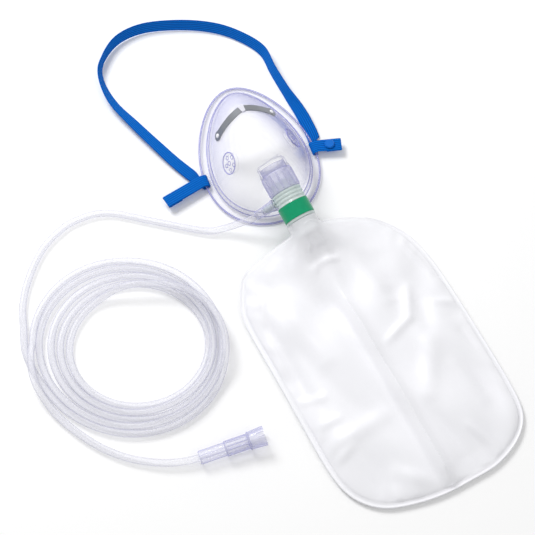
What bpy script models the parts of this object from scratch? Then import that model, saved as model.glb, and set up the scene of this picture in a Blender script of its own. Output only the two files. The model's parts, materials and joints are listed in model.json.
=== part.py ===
"""Adult oxygen mask with its reservoir bag, head strap, nose clip and supply tube.

Units are metres and +Z is up. The object lies on the ground plane, the mask on its rim with the
nose away from the viewer, the bag in front of it and the coiled tube to its left.
"""

import math

import bmesh
import bpy
from mathutils import Matrix, Vector

# Where the pieces lie on the ground. Every frame hangs from one empty at the object's origin.
ORIGIN_SHIFT = Vector((-0.0229, -0.0176, 0.0))
MASK_PLACE = Vector((-0.0120, 0.0979, 0.0))
MASK_TURN = math.radians(24.5)
RIM_TWIST = math.radians(-5.0)
RIM_SHIFT = 0.0021

# Clearances between separate pieces.
SEAT_GAP = 0.0003
BORE_GAP = 0.0003
SLOT_GAP = 0.0004

# Mask moulding.
SHELL_WALL = 0.0014
RIM_HALF_LENGTH = 0.0640
RIM_HALF_WIDTH = 0.0452
RIM_TAPER = 0.22
RIM_BEAD_RADIUS = 0.0012
RIM_CHEEK_LIFT = 0.0022
FLANGE_WIDTH = 0.0063
STEP_WIDTH = 0.0015
STEP_RISE = 0.0044
LEDGE_WIDTH = 0.0014
LEDGE_HEIGHT = 0.0084
DOME_TOP = 0.0552
DOME_APEX_Y = -0.0300
DOME_SWELL = 2.15
CHIN_STEP_START = 0.25
CHIN_STEP_END = 0.45
CHIN_STEP_DROP = 0.60
DOME_SHARES = (1.0, 0.96, 0.90, 0.82, 0.73, 0.63, 0.53, 0.45, 0.40, 0.34, 0.27, 0.13)
RIM_SEGMENTS = 52

# Vent rosettes on the cheeks.
VENT_X = 0.0258
VENT_Y = -0.0169
VENT_RADIUS = 0.0085
VENT_RING_WIDTH = 0.0010
VENT_RING_DEPTH = 0.0034
VENT_RING_RISE = 0.0010
VENT_WEB = 0.0012
VENT_BOSS_RADIUS = 0.0017
VENT_BOSS_RISE = 0.0008
VENT_HOLE_RADIUS = 0.0015
VENT_HOLE_CIRCLE = 0.00525
VENT_HOLE_COUNT = 5
VENT_HOLE_TURN = math.radians(93.7)

# Strap slots in the flange, each with a comb on its inner side.
SLOT_TAU = 1.765
SLOT_LENGTH = 0.0124
SLOT_WIDTH = 0.0031
SLOT_BAR = 0.0024
COMB_TEETH = 3
COMB_TOOTH_WIDTH = 0.0011
COMB_TOOTH_LENGTH = 0.0009

# Port tube of the mask and its axis, which points to the chin and a little down.
PORT_POINT = Vector((0.0, -0.0423, 0.0420))
PORT_SIDE_TURN = math.radians(5.2)
PORT_DROP = math.radians(15.5)
PORT_RADIUS = 0.0116
PORT_BORE_RADIUS = 0.0103
PORT_LIP_RADIUS = 0.0122
PORT_LIP_DEPTH = 0.0020
PORT_FACE = 0.0008
PORT_ROOT_DEPTH = 0.0070

# Rigid collar between the port and the connector.
COLLAR_RADIUS = 0.01235
COLLAR_LENGTH = 0.0158
COLLAR_WALL = 0.0018
COLLAR_SPIGOT_LENGTH = 0.0060
COLLAR_SPIGOT_WALL = 0.0013
COLLAR_SOCKET_DEPTH = 0.0084
COLLAR_BEVEL = 0.0005

# Connector that carries the gas inlet, the valve seat and the bag.
CONNECTOR_RADIUS = 0.0118
CONNECTOR_WALL = 0.0030
CONNECTOR_PLUG_LENGTH = 0.0078
CONNECTOR_PLUG_WALL = 0.0016
GRIP_LENGTH = 0.0100
GRIP_RING_COUNT = 3
GRIP_RING_RISE = 0.0006
GRIP_RING_WIDTH = 0.0012
BAND_LENGTH = 0.0124
BAND_THICKNESS = 0.0006
LIP_THICKNESS = 0.0019
LIP_RISE = 0.0001
BAG_SPIGOT_RADIUS = 0.0094
BAG_SPIGOT_LENGTH = 0.0110
BAG_SPIGOT_BEAD = 0.0006
VALVE_SEAT_THICKNESS = 0.0012
VALVE_SPOKES = 4
VALVE_SPOKE_WIDTH = 0.0011
VALVE_HUB_RADIUS = 0.0018
VALVE_PIN_RADIUS = 0.0009
VALVE_FLAP_THICKNESS = 0.0008
VALVE_FLAP_MARGIN = 0.0004

# Gas inlet nipple and the cuff of the supply tube on it.
INLET_POSITION = 0.0036
INLET_ANGLE = math.radians(214.2)
NIPPLE_RADIUS = 0.0022
NIPPLE_BORE_RADIUS = 0.0011
NIPPLE_LENGTH = 0.0110
NIPPLE_BARB_RISE = 0.0003
SLEEVE_RADIUS = 0.00385
SLEEVE_LENGTH = 0.0171
SLEEVE_FLANGE_RISE = 0.0006
SLEEVE_FLANGE_LENGTH = 0.0018
SLEEVE_STEP = 0.0004

# Nose clip and its pegs.
CLIP_HALF_SPAN = 0.0212
CLIP_END_Y = 0.0124
CLIP_BEND_Y = 0.0176
CLIP_WIDTH = 0.0050
CLIP_THICKNESS = 0.0009
CLIP_EYE_RADIUS = 0.0032
PEG_RADIUS = 0.0010
PEG_HEAD_RADIUS = 0.0019
PEG_HEAD_HEIGHT = 0.0012
KEEPER_LENGTH = 0.0042
KEEPER_COVER = 0.0008

# Head strap and its stud.
STRAP_WIDTH = 0.0102
STRAP_THICKNESS = 0.0011
STRAP_GROUND_GAP = 0.0004
STRAP_STEP = 0.0065
HEM_LENGTH = 0.0110
STUD_RADIUS = 0.00385
STUD_HEIGHT = 0.0018
STUD_BEVEL = 0.0006
STUD_PIN_RADIUS = 0.0012

# Reservoir bag.
BAG_TURN = math.radians(28.0)
BAG_PLACE = Vector((0.0260, 0.0246, 0.0))
BAG_SEAM_WIDTH = 0.0045
BAG_SEAM_THICKNESS = 0.0012
BAG_SEAM_HEIGHT = 0.0030
BAG_FILL = 0.0150
BAG_NECK_LENGTH = 0.0340
BAG_NECK_WALL = 0.0014
BAG_NECK_RISE = 0.0200
BAG_NECK_REACH = 0.0430
BAG_SEGMENTS = 52
BAG_FOLD_RISE = 0.0032
BAG_FOLD_WIDTH = 0.0060
BAG_VALLEY_DEPTH = 0.0018
BAG_VALLEY_X = -0.0115
BAG_VALLEY_WIDTH = 0.0075
BAG_FOLD_FADE = 0.0500
BAG_DENT_DEPTH = 0.0024
BAG_DENT_PITCH_X = 0.0760
BAG_DENT_PITCH_Y = 0.0920

# Supply tube, its coil and its end fitting.
TUBE_RADIUS = 0.0026
TUBE_STEP = 0.0120
COIL_CENTRE = Vector((-0.1025, -0.0624, 0.0))
COIL_EYE_CENTRE = Vector((-0.0949, -0.0645, 0.0))
COIL_RADIUS = 0.0722
COIL_EYE_RADIUS = 0.0475
COIL_HEIGHT = 0.0108
COIL_ROUND = 0.0026
FITTING_START = Vector((-0.0481, -0.1511, 0.0))
FITTING_TURN = math.radians(18.7)
FITTING_BARREL_RADIUS = 0.0050
FITTING_BARREL_LENGTH = 0.0195
FITTING_BODY_RADIUS = 0.0055
FITTING_BODY_LENGTH = 0.0170
FITTING_FLANGE_RADIUS = 0.0064
FITTING_FLANGE_LENGTH = 0.0014
FITTING_CUP_RADIUS = 0.0073
FITTING_CUP_LENGTH = 0.0110
FITTING_CUP_WALL = 0.0013
FITTING_BORE_RADIUS = 0.0014
FITTING_NOTCH_WIDTH = 0.0030

SMOOTH_ANGLE = math.radians(35.0)
ROUND_STEPS = 40
GRID_MERGE = 0.00002


# Scene set-up


def clear_scene():
    """Removes every object, so that the part is built in an empty scene."""
    for item in list(bpy.data.objects):
        bpy.data.objects.remove(item, do_unlink=True)


def make_collection(name):
    """Adds a collection to the scene."""
    made = bpy.data.collections.new(name)
    bpy.context.scene.collection.children.link(made)
    return made


def make_material(name, colour, roughness, metallic=0.0, alpha=1.0):
    """A Principled material with the piece's colour."""
    material = bpy.data.materials.new(name)
    material.use_nodes = True
    shader = material.node_tree.nodes["Principled BSDF"]
    shader.inputs["Base Color"].default_value = (*colour, 1.0)
    shader.inputs["Roughness"].default_value = roughness
    shader.inputs["Metallic"].default_value = metallic
    shader.inputs["Alpha"].default_value = alpha
    return material


clear_scene()
PARTS = make_collection("oxygen_mask_with_reservoir_bag")
CUTTERS = make_collection("cutters")


def make_frame(name, parent, place, turn=None):
    """An empty that carries pieces: place and turn are relative to its parent."""
    empty = bpy.data.objects.new(name, None)
    empty.empty_display_size = 0.02
    PARTS.objects.link(empty)
    empty.parent = parent
    empty.location = place
    if turn is not None:
        empty.rotation_mode = "QUATERNION"
        empty.rotation_quaternion = turn
    return empty


def world_of(frame):
    """World matrix of a frame, from its own chain of parents."""
    matrix = frame.matrix_basis.copy()
    while frame.parent is not None:
        frame = frame.parent
        matrix = frame.matrix_basis @ matrix
    return matrix


def smooth(mesh, angle=SMOOTH_ANGLE):
    """Shades a mesh smooth except at its real edges."""
    mesh.shade_smooth()
    mesh.set_sharp_from_angle(angle=angle)


def add_object(name, mesh, frame, material=None, local=None):
    """Adds a piece to the part, or a tool to the cutters when it has no material."""
    made = bpy.data.objects.new(name, mesh)
    made.parent = frame
    if local is not None:
        made.matrix_basis = local
    if material is None:
        CUTTERS.objects.link(made)
        made.hide_render = True
        made.display_type = "WIRE"
    else:
        PARTS.objects.link(made)
        mesh.materials.append(material)
    return made


def combine(target, tool, operation):
    """Adds an exact Boolean of the tool to the target."""
    step = target.modifiers.new(f"{operation.lower()}_{tool.name}", "BOOLEAN")
    step.operation = operation
    step.solver = "EXACT"
    step.object = tool


def join(target, tool):
    """Fuses the tool into the target."""
    combine(target, tool, "UNION")


def cut(target, tool):
    """Cuts the tool out of the target."""
    combine(target, tool, "DIFFERENCE")


def mesh_from(name, build):
    """A mesh that is filled by a function working on a bmesh."""
    mesh = bpy.data.meshes.new(name)
    grid = bmesh.new()
    build(grid)
    grid.to_mesh(mesh)
    grid.free()
    return mesh


# Shapes that several pieces share


def turned(name, profile, frame, material=None, local=None, closed=False, steps=ROUND_STEPS):
    """A turned piece about the frame's Z axis.

    The profile is a list of (radius, height) pairs that runs down the outer side. A closed profile
    makes a ring, and an open one starts and ends on the axis.
    """

    def build(grid):
        corners = [grid.verts.new((radius, 0.0, height)) for radius, height in profile]
        for first, second in zip(corners, corners[1:]):
            grid.edges.new((first, second))
        if closed:
            grid.edges.new((corners[-1], corners[0]))

    made = add_object(name, mesh_from(name, build), frame, material, local)
    screw = made.modifiers.new("turned", "SCREW")
    screw.axis = "Z"
    screw.angle = math.tau
    screw.steps = steps
    screw.render_steps = steps
    screw.use_merge_vertices = True
    screw.merge_threshold = 0.00001
    screw.use_smooth_shade = True
    return made


def cylinder(name, radius, low, high, frame, local=None, material=None, steps=ROUND_STEPS):
    """A plain round bar along the frame's Z axis, from low to high."""

    def build(grid):
        middle = Matrix.Translation((0.0, 0.0, (low + high) / 2))
        bmesh.ops.create_cone(
            grid,
            cap_ends=True,
            segments=steps,
            radius1=radius,
            radius2=radius,
            depth=high - low,
            matrix=middle,
        )

    return add_object(name, mesh_from(name, build), frame, material, local)


def block(name, size, centre, frame, local=None, material=None):
    """A rectangular block."""

    def build(grid):
        bmesh.ops.create_cube(grid, size=1.0)
        bmesh.ops.scale(grid, vec=Vector(size), verts=grid.verts)
        bmesh.ops.translate(grid, vec=Vector(centre), verts=grid.verts)

    return add_object(name, mesh_from(name, build), frame, material, local)


def smooth_route(points, step):
    """Points at an even spacing along a smooth curve through the given ones."""
    fine = []
    last = len(points) - 1
    for index in range(last):
        before = points[max(index - 1, 0)]
        start = points[index]
        end = points[index + 1]
        after = points[min(index + 2, last)]
        if index == 0:
            before = start * 2 - end
        if index + 1 == last:
            after = end * 2 - start
        for part in range(24):
            fine.append(spline_at(before, start, end, after, part / 24))
    fine.append(points[-1].copy())
    travelled = [0.0]
    for first, second in zip(fine, fine[1:]):
        travelled.append(travelled[-1] + (second - first).length)
    count = max(int(round(travelled[-1] / step)), 2)
    even = []
    place = 0
    for index in range(count + 1):
        goal = travelled[-1] * index / count
        while place < len(fine) - 2 and travelled[place + 1] < goal:
            place += 1
        span = max(travelled[place + 1] - travelled[place], 1e-9)
        share = (goal - travelled[place]) / span
        even.append(fine[place].lerp(fine[place + 1], min(max(share, 0.0), 1.0)))
    return even


def spline_at(before, start, end, after, share):
    """Catmull-Rom curve between start and end, of any length of vector."""
    square = share * share
    cube = square * share
    return 0.5 * (
        2 * start
        + (end - before) * share
        + (2 * before - 5 * start + 4 * end - after) * square
        + (3 * start - before - 3 * end + after) * cube
    )


def tube_mesh(name, points, radius, cyclic=False, resolution=2):
    """A round bar along points, as a welded mesh made from a bevelled curve."""
    curve = bpy.data.curves.new(name, "CURVE")
    curve.dimensions = "3D"
    curve.bevel_depth = radius
    curve.bevel_resolution = resolution
    curve.use_fill_caps = True
    line = curve.splines.new("POLY")
    line.points.add(len(points) - 1)
    for corner, point in zip(line.points, points):
        corner.co = (*point, 1.0)
    line.use_cyclic_u = cyclic
    carrier = bpy.data.objects.new(name, curve)
    CUTTERS.objects.link(carrier)
    evaluated = carrier.evaluated_get(bpy.context.evaluated_depsgraph_get())
    mesh = bpy.data.meshes.new_from_object(evaluated)
    bpy.data.objects.remove(carrier, do_unlink=True)
    bpy.data.curves.remove(curve)
    grid = bmesh.new()
    grid.from_mesh(mesh)
    bmesh.ops.remove_doubles(grid, verts=grid.verts, dist=0.00001)
    bmesh.ops.recalc_face_normals(grid, faces=grid.faces)
    grid.to_mesh(mesh)
    grid.free()
    return mesh


def strip_mesh(name, sections):
    """An open strip through pairs of a centre and a half-width vector."""

    def build(grid):
        rows = []
        for centre, half in sections:
            rows.append([grid.verts.new(centre + half * side) for side in (-1.0, 1.0)])
        for first, second in zip(rows, rows[1:]):
            grid.faces.new((first[0], first[1], second[1], second[0]))

    return mesh_from(name, build)


def thicken(target, thickness, offset=0.0):
    """Gives an open surface its wall."""
    wall = target.modifiers.new("wall", "SOLIDIFY")
    wall.thickness = thickness
    wall.offset = offset
    wall.use_even_offset = offset == 0.0
    return wall


# Frames of the object

ROOT = make_frame("object_origin", None, ORIGIN_SHIFT)
MASK = make_frame("mask_frame", ROOT, MASK_PLACE, Matrix.Rotation(MASK_TURN, 3, "Z").to_quaternion())
PORT_AXIS = Vector(
    (
        math.sin(PORT_SIDE_TURN) * math.cos(PORT_DROP),
        -math.cos(PORT_SIDE_TURN) * math.cos(PORT_DROP),
        -math.sin(PORT_DROP),
    )
)
PORT = make_frame("port_frame", MASK, PORT_POINT, PORT_AXIS.to_track_quat("Z", "Y"))

# Stations along the port axis, each from the one before.
COLLAR_START = PORT_FACE + SEAT_GAP
COLLAR_END = COLLAR_START + COLLAR_LENGTH
GRIP_START = COLLAR_END + SEAT_GAP
BAND_START = GRIP_START + GRIP_LENGTH
LIP_START = BAND_START + BAND_LENGTH
LIP_END = LIP_START + LIP_THICKNESS
BAG_START = LIP_END + SEAT_GAP
COLLAR_BORE_RADIUS = PORT_BORE_RADIUS - BORE_GAP - COLLAR_SPIGOT_WALL
COLLAR_SOCKET_RADIUS = COLLAR_RADIUS - COLLAR_WALL
PLUG_RADIUS = COLLAR_SOCKET_RADIUS - BORE_GAP
CONNECTOR_BORE_RADIUS = CONNECTOR_RADIUS - CONNECTOR_WALL - BAND_THICKNESS
INLET_STATION = GRIP_START + INLET_POSITION
INLET_AXIS = Vector((math.cos(INLET_ANGLE), math.sin(INLET_ANGLE), 0.0))
INLET = make_frame("inlet_frame", PORT, (0.0, 0.0, INLET_STATION), INLET_AXIS.to_track_quat("Z", "Y"))


# Mask shell


def egg(tau, inset):
    """Point of the rim's outline, and its outward direction, in the rim's own frame."""
    taper = 1.0 - RIM_TAPER * math.cos(tau)
    across = RIM_HALF_WIDTH * math.sin(tau) * taper
    along = RIM_HALF_LENGTH * math.cos(tau)
    slope_x = RIM_HALF_WIDTH * (math.cos(tau) * taper + RIM_TAPER * math.sin(tau) ** 2)
    slope_y = -RIM_HALF_LENGTH * math.sin(tau)
    outward = Vector((-slope_y, slope_x)).normalized()
    return Vector((across, along)) - outward * inset, outward


def rim_lift(tau):
    """How far the rim stands off the ground, as the cheeks of a mask curve up."""
    return RIM_CHEEK_LIFT * math.sin(tau) ** 2


def rim_point(tau, inset, height, twist=1.0):
    """Point of the moulding near its rim, in the mask frame."""
    flat, _ = egg(tau, inset)
    turned_flat = Matrix.Rotation(RIM_TWIST * twist, 2) @ flat
    return Vector((turned_flat.x + RIM_SHIFT * twist, turned_flat.y, height))


def ledge_point(tau, share=1.0):
    """Foot of the dome, whose twist with the rim fades towards the top."""
    fade = min(max((share - 0.55) / 0.45, 0.0), 1.0)
    twist = fade * fade * (3.0 - 2.0 * fade)
    return rim_point(tau, FLANGE_WIDTH + STEP_WIDTH + LEDGE_WIDTH, LEDGE_HEIGHT, twist)


def dome_point(tau, share):
    """Point of the dome: share is 1 at its foot and 0 at its top."""
    foot = ledge_point(tau, share)
    away_x = foot.x * share
    away_y = (foot.y - DOME_APEX_Y) * share
    from_chin = abs(math.degrees(math.atan2(away_x, -away_y))) if share > 0 else 0.0
    blend = min(max((70.0 - from_chin) / 45.0, 0.0), 1.0)
    blend = blend * blend * (3.0 - 2.0 * blend)
    full = 1.0 - share**DOME_SWELL
    step = min(max((share - CHIN_STEP_START) / (CHIN_STEP_END - CHIN_STEP_START), 0.0), 1.0)
    step = step * step * (3.0 - 2.0 * step)
    slope = max(share - CHIN_STEP_END, 0.0) / (1.0 - CHIN_STEP_END)
    hollow = 1.0 - CHIN_STEP_DROP * step - (1.0 - CHIN_STEP_DROP) * slope
    rise = full * (1.0 - blend) + hollow * blend
    height = LEDGE_HEIGHT + (DOME_TOP - LEDGE_HEIGHT) * rise
    return Vector((away_x, DOME_APEX_Y + away_y, height))


def on_dome(across, along):
    """Point of the dome's outer surface over a place in the mask frame."""
    target = math.atan2(across, along - DOME_APEX_Y)
    share = 0.5
    tau = target
    for _ in range(6):
        low = target - 1.5
        high = target + 1.5
        for _ in range(30):
            tau = (low + high) / 2
            foot = ledge_point(tau, share)
            angle = math.atan2(foot.x, foot.y - DOME_APEX_Y)
            ahead = (angle - target + math.pi) % math.tau - math.pi
            if ahead < 0:
                low = tau
            else:
                high = tau
        foot = ledge_point(tau, share)
        reach = math.hypot(foot.x, foot.y - DOME_APEX_Y)
        share = min(math.hypot(across, along - DOME_APEX_Y) / reach, 1.0)
    return dome_point(tau, share)


def dome_normal(across, along):
    """Outward direction of the dome's surface."""
    small = 0.0008
    side = on_dome(across + small, along) - on_dome(across - small, along)
    front = on_dome(across, along + small) - on_dome(across, along - small)
    return side.cross(front).normalized()


def frame_on(point, normal, forward=Vector((0.0, 1.0, 0.0))):
    """A matrix at the point with Z along the normal and Y as near forward as it can be."""
    across = forward.cross(normal).normalized()
    ahead = normal.cross(across).normalized()
    turn = Matrix((across, ahead, normal)).transposed().to_4x4()
    return Matrix.Translation(point) @ turn


def shell_skin():
    """Open outer skin of the moulding, from its rim to the top of its dome."""
    rings = []
    taus = [math.tau * index / RIM_SEGMENTS for index in range(RIM_SEGMENTS)]
    flange_top = RIM_BEAD_RADIUS + SHELL_WALL / 2
    inner = FLANGE_WIDTH + STEP_WIDTH
    rings.append([rim_point(tau, RIM_BEAD_RADIUS, flange_top + rim_lift(tau)) for tau in taus])
    rings.append([rim_point(tau, FLANGE_WIDTH - 0.0006, flange_top + 0.0005 + rim_lift(tau)) for tau in taus])
    rings.append([rim_point(tau, FLANGE_WIDTH, flange_top + 0.0009 + rim_lift(tau)) for tau in taus])
    foot = LEDGE_HEIGHT - STEP_RISE
    rings.append([rim_point(tau, FLANGE_WIDTH + 0.0005, foot + 0.5 * rim_lift(tau)) for tau in taus])
    rings.append([rim_point(tau, inner - 0.0003, LEDGE_HEIGHT - 0.0009) for tau in taus])
    rings.append([rim_point(tau, inner + 0.0004, LEDGE_HEIGHT - 0.0002) for tau in taus])
    for share in DOME_SHARES:
        rings.append([dome_point(tau, share) for tau in taus])

    def build(grid):
        rows = [[grid.verts.new(point) for point in ring] for ring in rings]
        top = grid.verts.new(dome_point(0.0, 0.0))
        for lower, upper in zip(rows, rows[1:]):
            for index in range(RIM_SEGMENTS):
                after = (index + 1) % RIM_SEGMENTS
                grid.faces.new((lower[index], upper[index], upper[after], lower[after]))
        for index in range(RIM_SEGMENTS):
            after = (index + 1) % RIM_SEGMENTS
            grid.faces.new((rows[-1][index], top, rows[-1][after]))

    mesh = mesh_from("mask_shell", build)
    smooth(mesh)
    return mesh


def rim_matrix(tau):
    """Frame at the rim's outer edge: X outward, Z up, at the lifted rim's underside."""
    point, outward = egg(tau, 0.0)
    turn = Matrix.Rotation(RIM_TWIST, 2)
    place = turn @ point
    heading = turn @ outward
    angle = math.atan2(heading.y, heading.x)
    middle = Vector((place.x + RIM_SHIFT, place.y, rim_lift(tau)))
    return Matrix.Translation(middle) @ Matrix.Rotation(angle, 4, "Z")


def slot_cutter(name, tau):
    """Cutter of a strap slot, with the comb's teeth left standing on its inner side."""
    outer = -SLOT_BAR
    inner = -SLOT_BAR - SLOT_WIDTH
    outline = [(outer, -SLOT_LENGTH / 2), (outer, SLOT_LENGTH / 2), (inner, SLOT_LENGTH / 2)]
    for index in range(COMB_TEETH):
        middle = SLOT_LENGTH * (0.5 - (index + 1) / (COMB_TEETH + 1))
        outline.append((inner, middle + COMB_TOOTH_WIDTH / 2))
        outline.append((inner + COMB_TOOTH_LENGTH, middle + COMB_TOOTH_WIDTH / 2))
        outline.append((inner + COMB_TOOTH_LENGTH, middle - COMB_TOOTH_WIDTH / 2))
        outline.append((inner, middle - COMB_TOOTH_WIDTH / 2))
    outline.append((inner, -SLOT_LENGTH / 2))

    def build(grid):
        bottom = [grid.verts.new((x, y, -0.002)) for x, y in outline]
        face = grid.faces.new(bottom)
        grown = bmesh.ops.extrude_face_region(grid, geom=[face])
        raised = [item for item in grown["geom"] if isinstance(item, bmesh.types.BMVert)]
        bmesh.ops.translate(grid, vec=Vector((0.0, 0.0, 0.010)), verts=raised)
        bmesh.ops.recalc_face_normals(grid, faces=grid.faces)

    return add_object(name, mesh_from(name, build), MASK, None, rim_matrix(tau))


def vent_matrix(side):
    """Frame of a vent rosette: Z out of the dome."""
    across = VENT_X * side
    point = on_dome(across, VENT_Y)
    return frame_on(point, dome_normal(across, VENT_Y))


def add_vent(shell, label, side):
    """Replaces a round patch of the dome by a flat rosette with a ring, a boss and holes."""
    local = vent_matrix(side)
    opening = cylinder(f"vent_{label}_opening", VENT_RADIUS - VENT_RING_WIDTH / 2, -0.005, 0.005, MASK, local)
    ring_low = VENT_RING_RISE - VENT_RING_DEPTH
    web_top = 0.0
    profile = [
        (0.0, web_top + VENT_BOSS_RISE),
        (VENT_BOSS_RADIUS - 0.0004, web_top + VENT_BOSS_RISE),
        (VENT_BOSS_RADIUS, web_top),
        (VENT_RADIUS - VENT_RING_WIDTH, web_top),
        (VENT_RADIUS - VENT_RING_WIDTH + 0.0002, VENT_RING_RISE),
        (VENT_RADIUS - 0.0002, VENT_RING_RISE),
        (VENT_RADIUS, VENT_RING_RISE - 0.0003),
        (VENT_RADIUS, ring_low),
        (VENT_RADIUS - VENT_RING_WIDTH, ring_low),
        (VENT_RADIUS - VENT_RING_WIDTH - 0.0002, web_top - VENT_WEB),
        (0.0, web_top - VENT_WEB),
    ]
    rosette = turned(f"vent_{label}_rosette", profile, MASK, None, local, steps=28)
    for index in range(VENT_HOLE_COUNT):
        angle = math.tau * index / VENT_HOLE_COUNT + VENT_HOLE_TURN
        shift = Vector((math.cos(angle), math.sin(angle), 0.0)) * VENT_HOLE_CIRCLE
        place = local @ Matrix.Translation(shift)
        hole = cylinder(f"vent_{label}_hole_{index}", VENT_HOLE_RADIUS, -0.004, 0.004, MASK, place, None, 12)
        cut(rosette, hole)
    cut(shell, opening)
    join(shell, rosette)


def clip_sections(half_span, extra=0.0, sink=0.0):
    """Sections of the nose clip over the dome's ridge, each a centre and a half-width vector."""
    route = []
    for index in range(-12, 13):
        share = index / 12
        across = share * half_span
        bend = CLIP_BEND_Y - (CLIP_BEND_Y - CLIP_END_Y) * min(abs(across) / CLIP_HALF_SPAN, 1.0)
        normal = dome_normal(across, bend)
        height = SEAT_GAP + CLIP_THICKNESS / 2 - sink
        route.append((on_dome(across, bend) + normal * height, normal))
    sections = []
    for index, (point, normal) in enumerate(route):
        before = route[max(index - 1, 0)][0]
        after = route[min(index + 1, len(route) - 1)][0]
        across = normal.cross((after - before).normalized()).normalized()
        sections.append((point, across * (CLIP_WIDTH / 2 + extra)))
    return sections


def add_clip_keeper(shell):
    """The moulded loop at the bridge of the nose that the clip runs through."""
    point = on_dome(0.0, CLIP_BEND_Y)
    local = frame_on(point, dome_normal(0.0, CLIP_BEND_Y))
    height = SEAT_GAP * 2 + CLIP_THICKNESS + KEEPER_COVER
    length = CLIP_WIDTH + 2 * SLOT_GAP + 0.0030
    keeper = block(
        "keeper_block",
        (KEEPER_LENGTH, length, height + SHELL_WALL * 0.6),
        (0.0, 0.0, height / 2 - SHELL_WALL * 0.3),
        MASK,
        local,
    )
    sink = SHELL_WALL * 0.3
    tunnel_mesh = strip_mesh("keeper_tunnel", clip_sections(0.0060, SLOT_GAP, sink))
    tunnel = add_object("keeper_tunnel", tunnel_mesh, MASK)
    thicken(tunnel, CLIP_THICKNESS + 2 * (SEAT_GAP + sink))
    cut(keeper, tunnel)
    join(shell, keeper)


def build_mask_shell(material):
    """The one clear moulding of the mask."""
    shell = add_object("mask_shell", shell_skin(), MASK, material)
    thicken(shell, SHELL_WALL, -1.0)
    taus = [math.tau * index / RIM_SEGMENTS for index in range(RIM_SEGMENTS)]
    bead_route = [rim_point(tau, RIM_BEAD_RADIUS, RIM_BEAD_RADIUS + rim_lift(tau)) for tau in taus]
    bead = add_object("rim_bead", tube_mesh("rim_bead", bead_route, RIM_BEAD_RADIUS, True), MASK)
    join(shell, bead)
    add_vent(shell, "left", -1.0)
    add_vent(shell, "right", 1.0)
    profile = [
        (0.0, PORT_FACE),
        (PORT_LIP_RADIUS - 0.0004, PORT_FACE),
        (PORT_LIP_RADIUS, PORT_FACE - 0.0005),
        (PORT_LIP_RADIUS, PORT_FACE - PORT_LIP_DEPTH + 0.0005),
        (PORT_RADIUS, PORT_FACE - PORT_LIP_DEPTH - 0.0003),
        (PORT_RADIUS, -PORT_ROOT_DEPTH),
        (0.0, -PORT_ROOT_DEPTH),
    ]
    join(shell, turned("port_boss", profile, PORT))
    bore_turn = Matrix.Rotation(math.radians(2.6), 4, "Z")
    bore_low = -PORT_ROOT_DEPTH - 0.0013
    bore = cylinder("port_bore", PORT_BORE_RADIUS, bore_low, PORT_FACE + 0.006, PORT, bore_turn)
    cut(shell, bore)
    around = COLLAR_RADIUS + SEAT_GAP
    cut(shell, cylinder("collar_room", around, PORT_FACE + 0.0001, COLLAR_END, PORT, None, None, 44))
    add_clip_keeper(shell)
    cut(shell, slot_cutter("slot_right", SLOT_TAU))
    cut(shell, slot_cutter("slot_left", -SLOT_TAU))
    return shell


# Port line: collar, connector, valve, band


def build_collar(material):
    """Rigid ring that seats on the port's lip, with a spigot into the port."""
    profile = [
        (COLLAR_RADIUS - COLLAR_BEVEL, COLLAR_END),
        (COLLAR_RADIUS, COLLAR_END - COLLAR_BEVEL),
        (COLLAR_RADIUS, COLLAR_START + COLLAR_BEVEL),
        (COLLAR_RADIUS - COLLAR_BEVEL, COLLAR_START),
        (PORT_BORE_RADIUS - BORE_GAP, COLLAR_START),
        (PORT_BORE_RADIUS - BORE_GAP, COLLAR_START - COLLAR_SPIGOT_LENGTH),
        (COLLAR_BORE_RADIUS, COLLAR_START - COLLAR_SPIGOT_LENGTH),
        (COLLAR_BORE_RADIUS, COLLAR_END - COLLAR_SOCKET_DEPTH),
        (COLLAR_SOCKET_RADIUS, COLLAR_END - COLLAR_SOCKET_DEPTH),
        (COLLAR_SOCKET_RADIUS, COLLAR_END),
    ]
    return turned("port_collar", profile, PORT, material, closed=True, steps=36)


def connector_profile():
    """Half section of the connector, from the bag's end down to the plug in the collar."""
    bead = BAG_SPIGOT_RADIUS + BAG_SPIGOT_BEAD
    tip = LIP_END + BAG_SPIGOT_LENGTH
    inner = CONNECTOR_RADIUS - BAND_THICKNESS
    lip = CONNECTOR_RADIUS + LIP_RISE
    outer = [
        (BAG_SPIGOT_RADIUS - 0.0006, tip),
        (bead, tip - 0.0012),
        (BAG_SPIGOT_RADIUS, tip - 0.0024),
        (BAG_SPIGOT_RADIUS, LIP_END),
        (lip - 0.0004, LIP_END),
        (lip, LIP_END - 0.0004),
        (lip, LIP_START),
        (inner, LIP_START),
        (inner, BAND_START),
        (CONNECTOR_RADIUS, BAND_START),
    ]
    pitch = GRIP_LENGTH / (GRIP_RING_COUNT + 0.5)
    for index in range(GRIP_RING_COUNT):
        top = BAND_START - pitch * (index + 0.5)
        outer.append((CONNECTOR_RADIUS - GRIP_RING_RISE, top))
        outer.append((CONNECTOR_RADIUS - GRIP_RING_RISE, top - pitch + GRIP_RING_WIDTH))
        outer.append((CONNECTOR_RADIUS, top - pitch + GRIP_RING_WIDTH + 0.0003))
        outer.append((CONNECTOR_RADIUS, top - pitch + 0.0003))
    outer.append((CONNECTOR_RADIUS, GRIP_START))
    outer.append((PLUG_RADIUS, GRIP_START))
    outer.append((PLUG_RADIUS, GRIP_START - CONNECTOR_PLUG_LENGTH))
    outer.append((PLUG_RADIUS - CONNECTOR_PLUG_WALL, GRIP_START - CONNECTOR_PLUG_LENGTH))
    outer.append((CONNECTOR_BORE_RADIUS, GRIP_START + 0.0015))
    outer.append((CONNECTOR_BORE_RADIUS, tip))
    return outer


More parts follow.
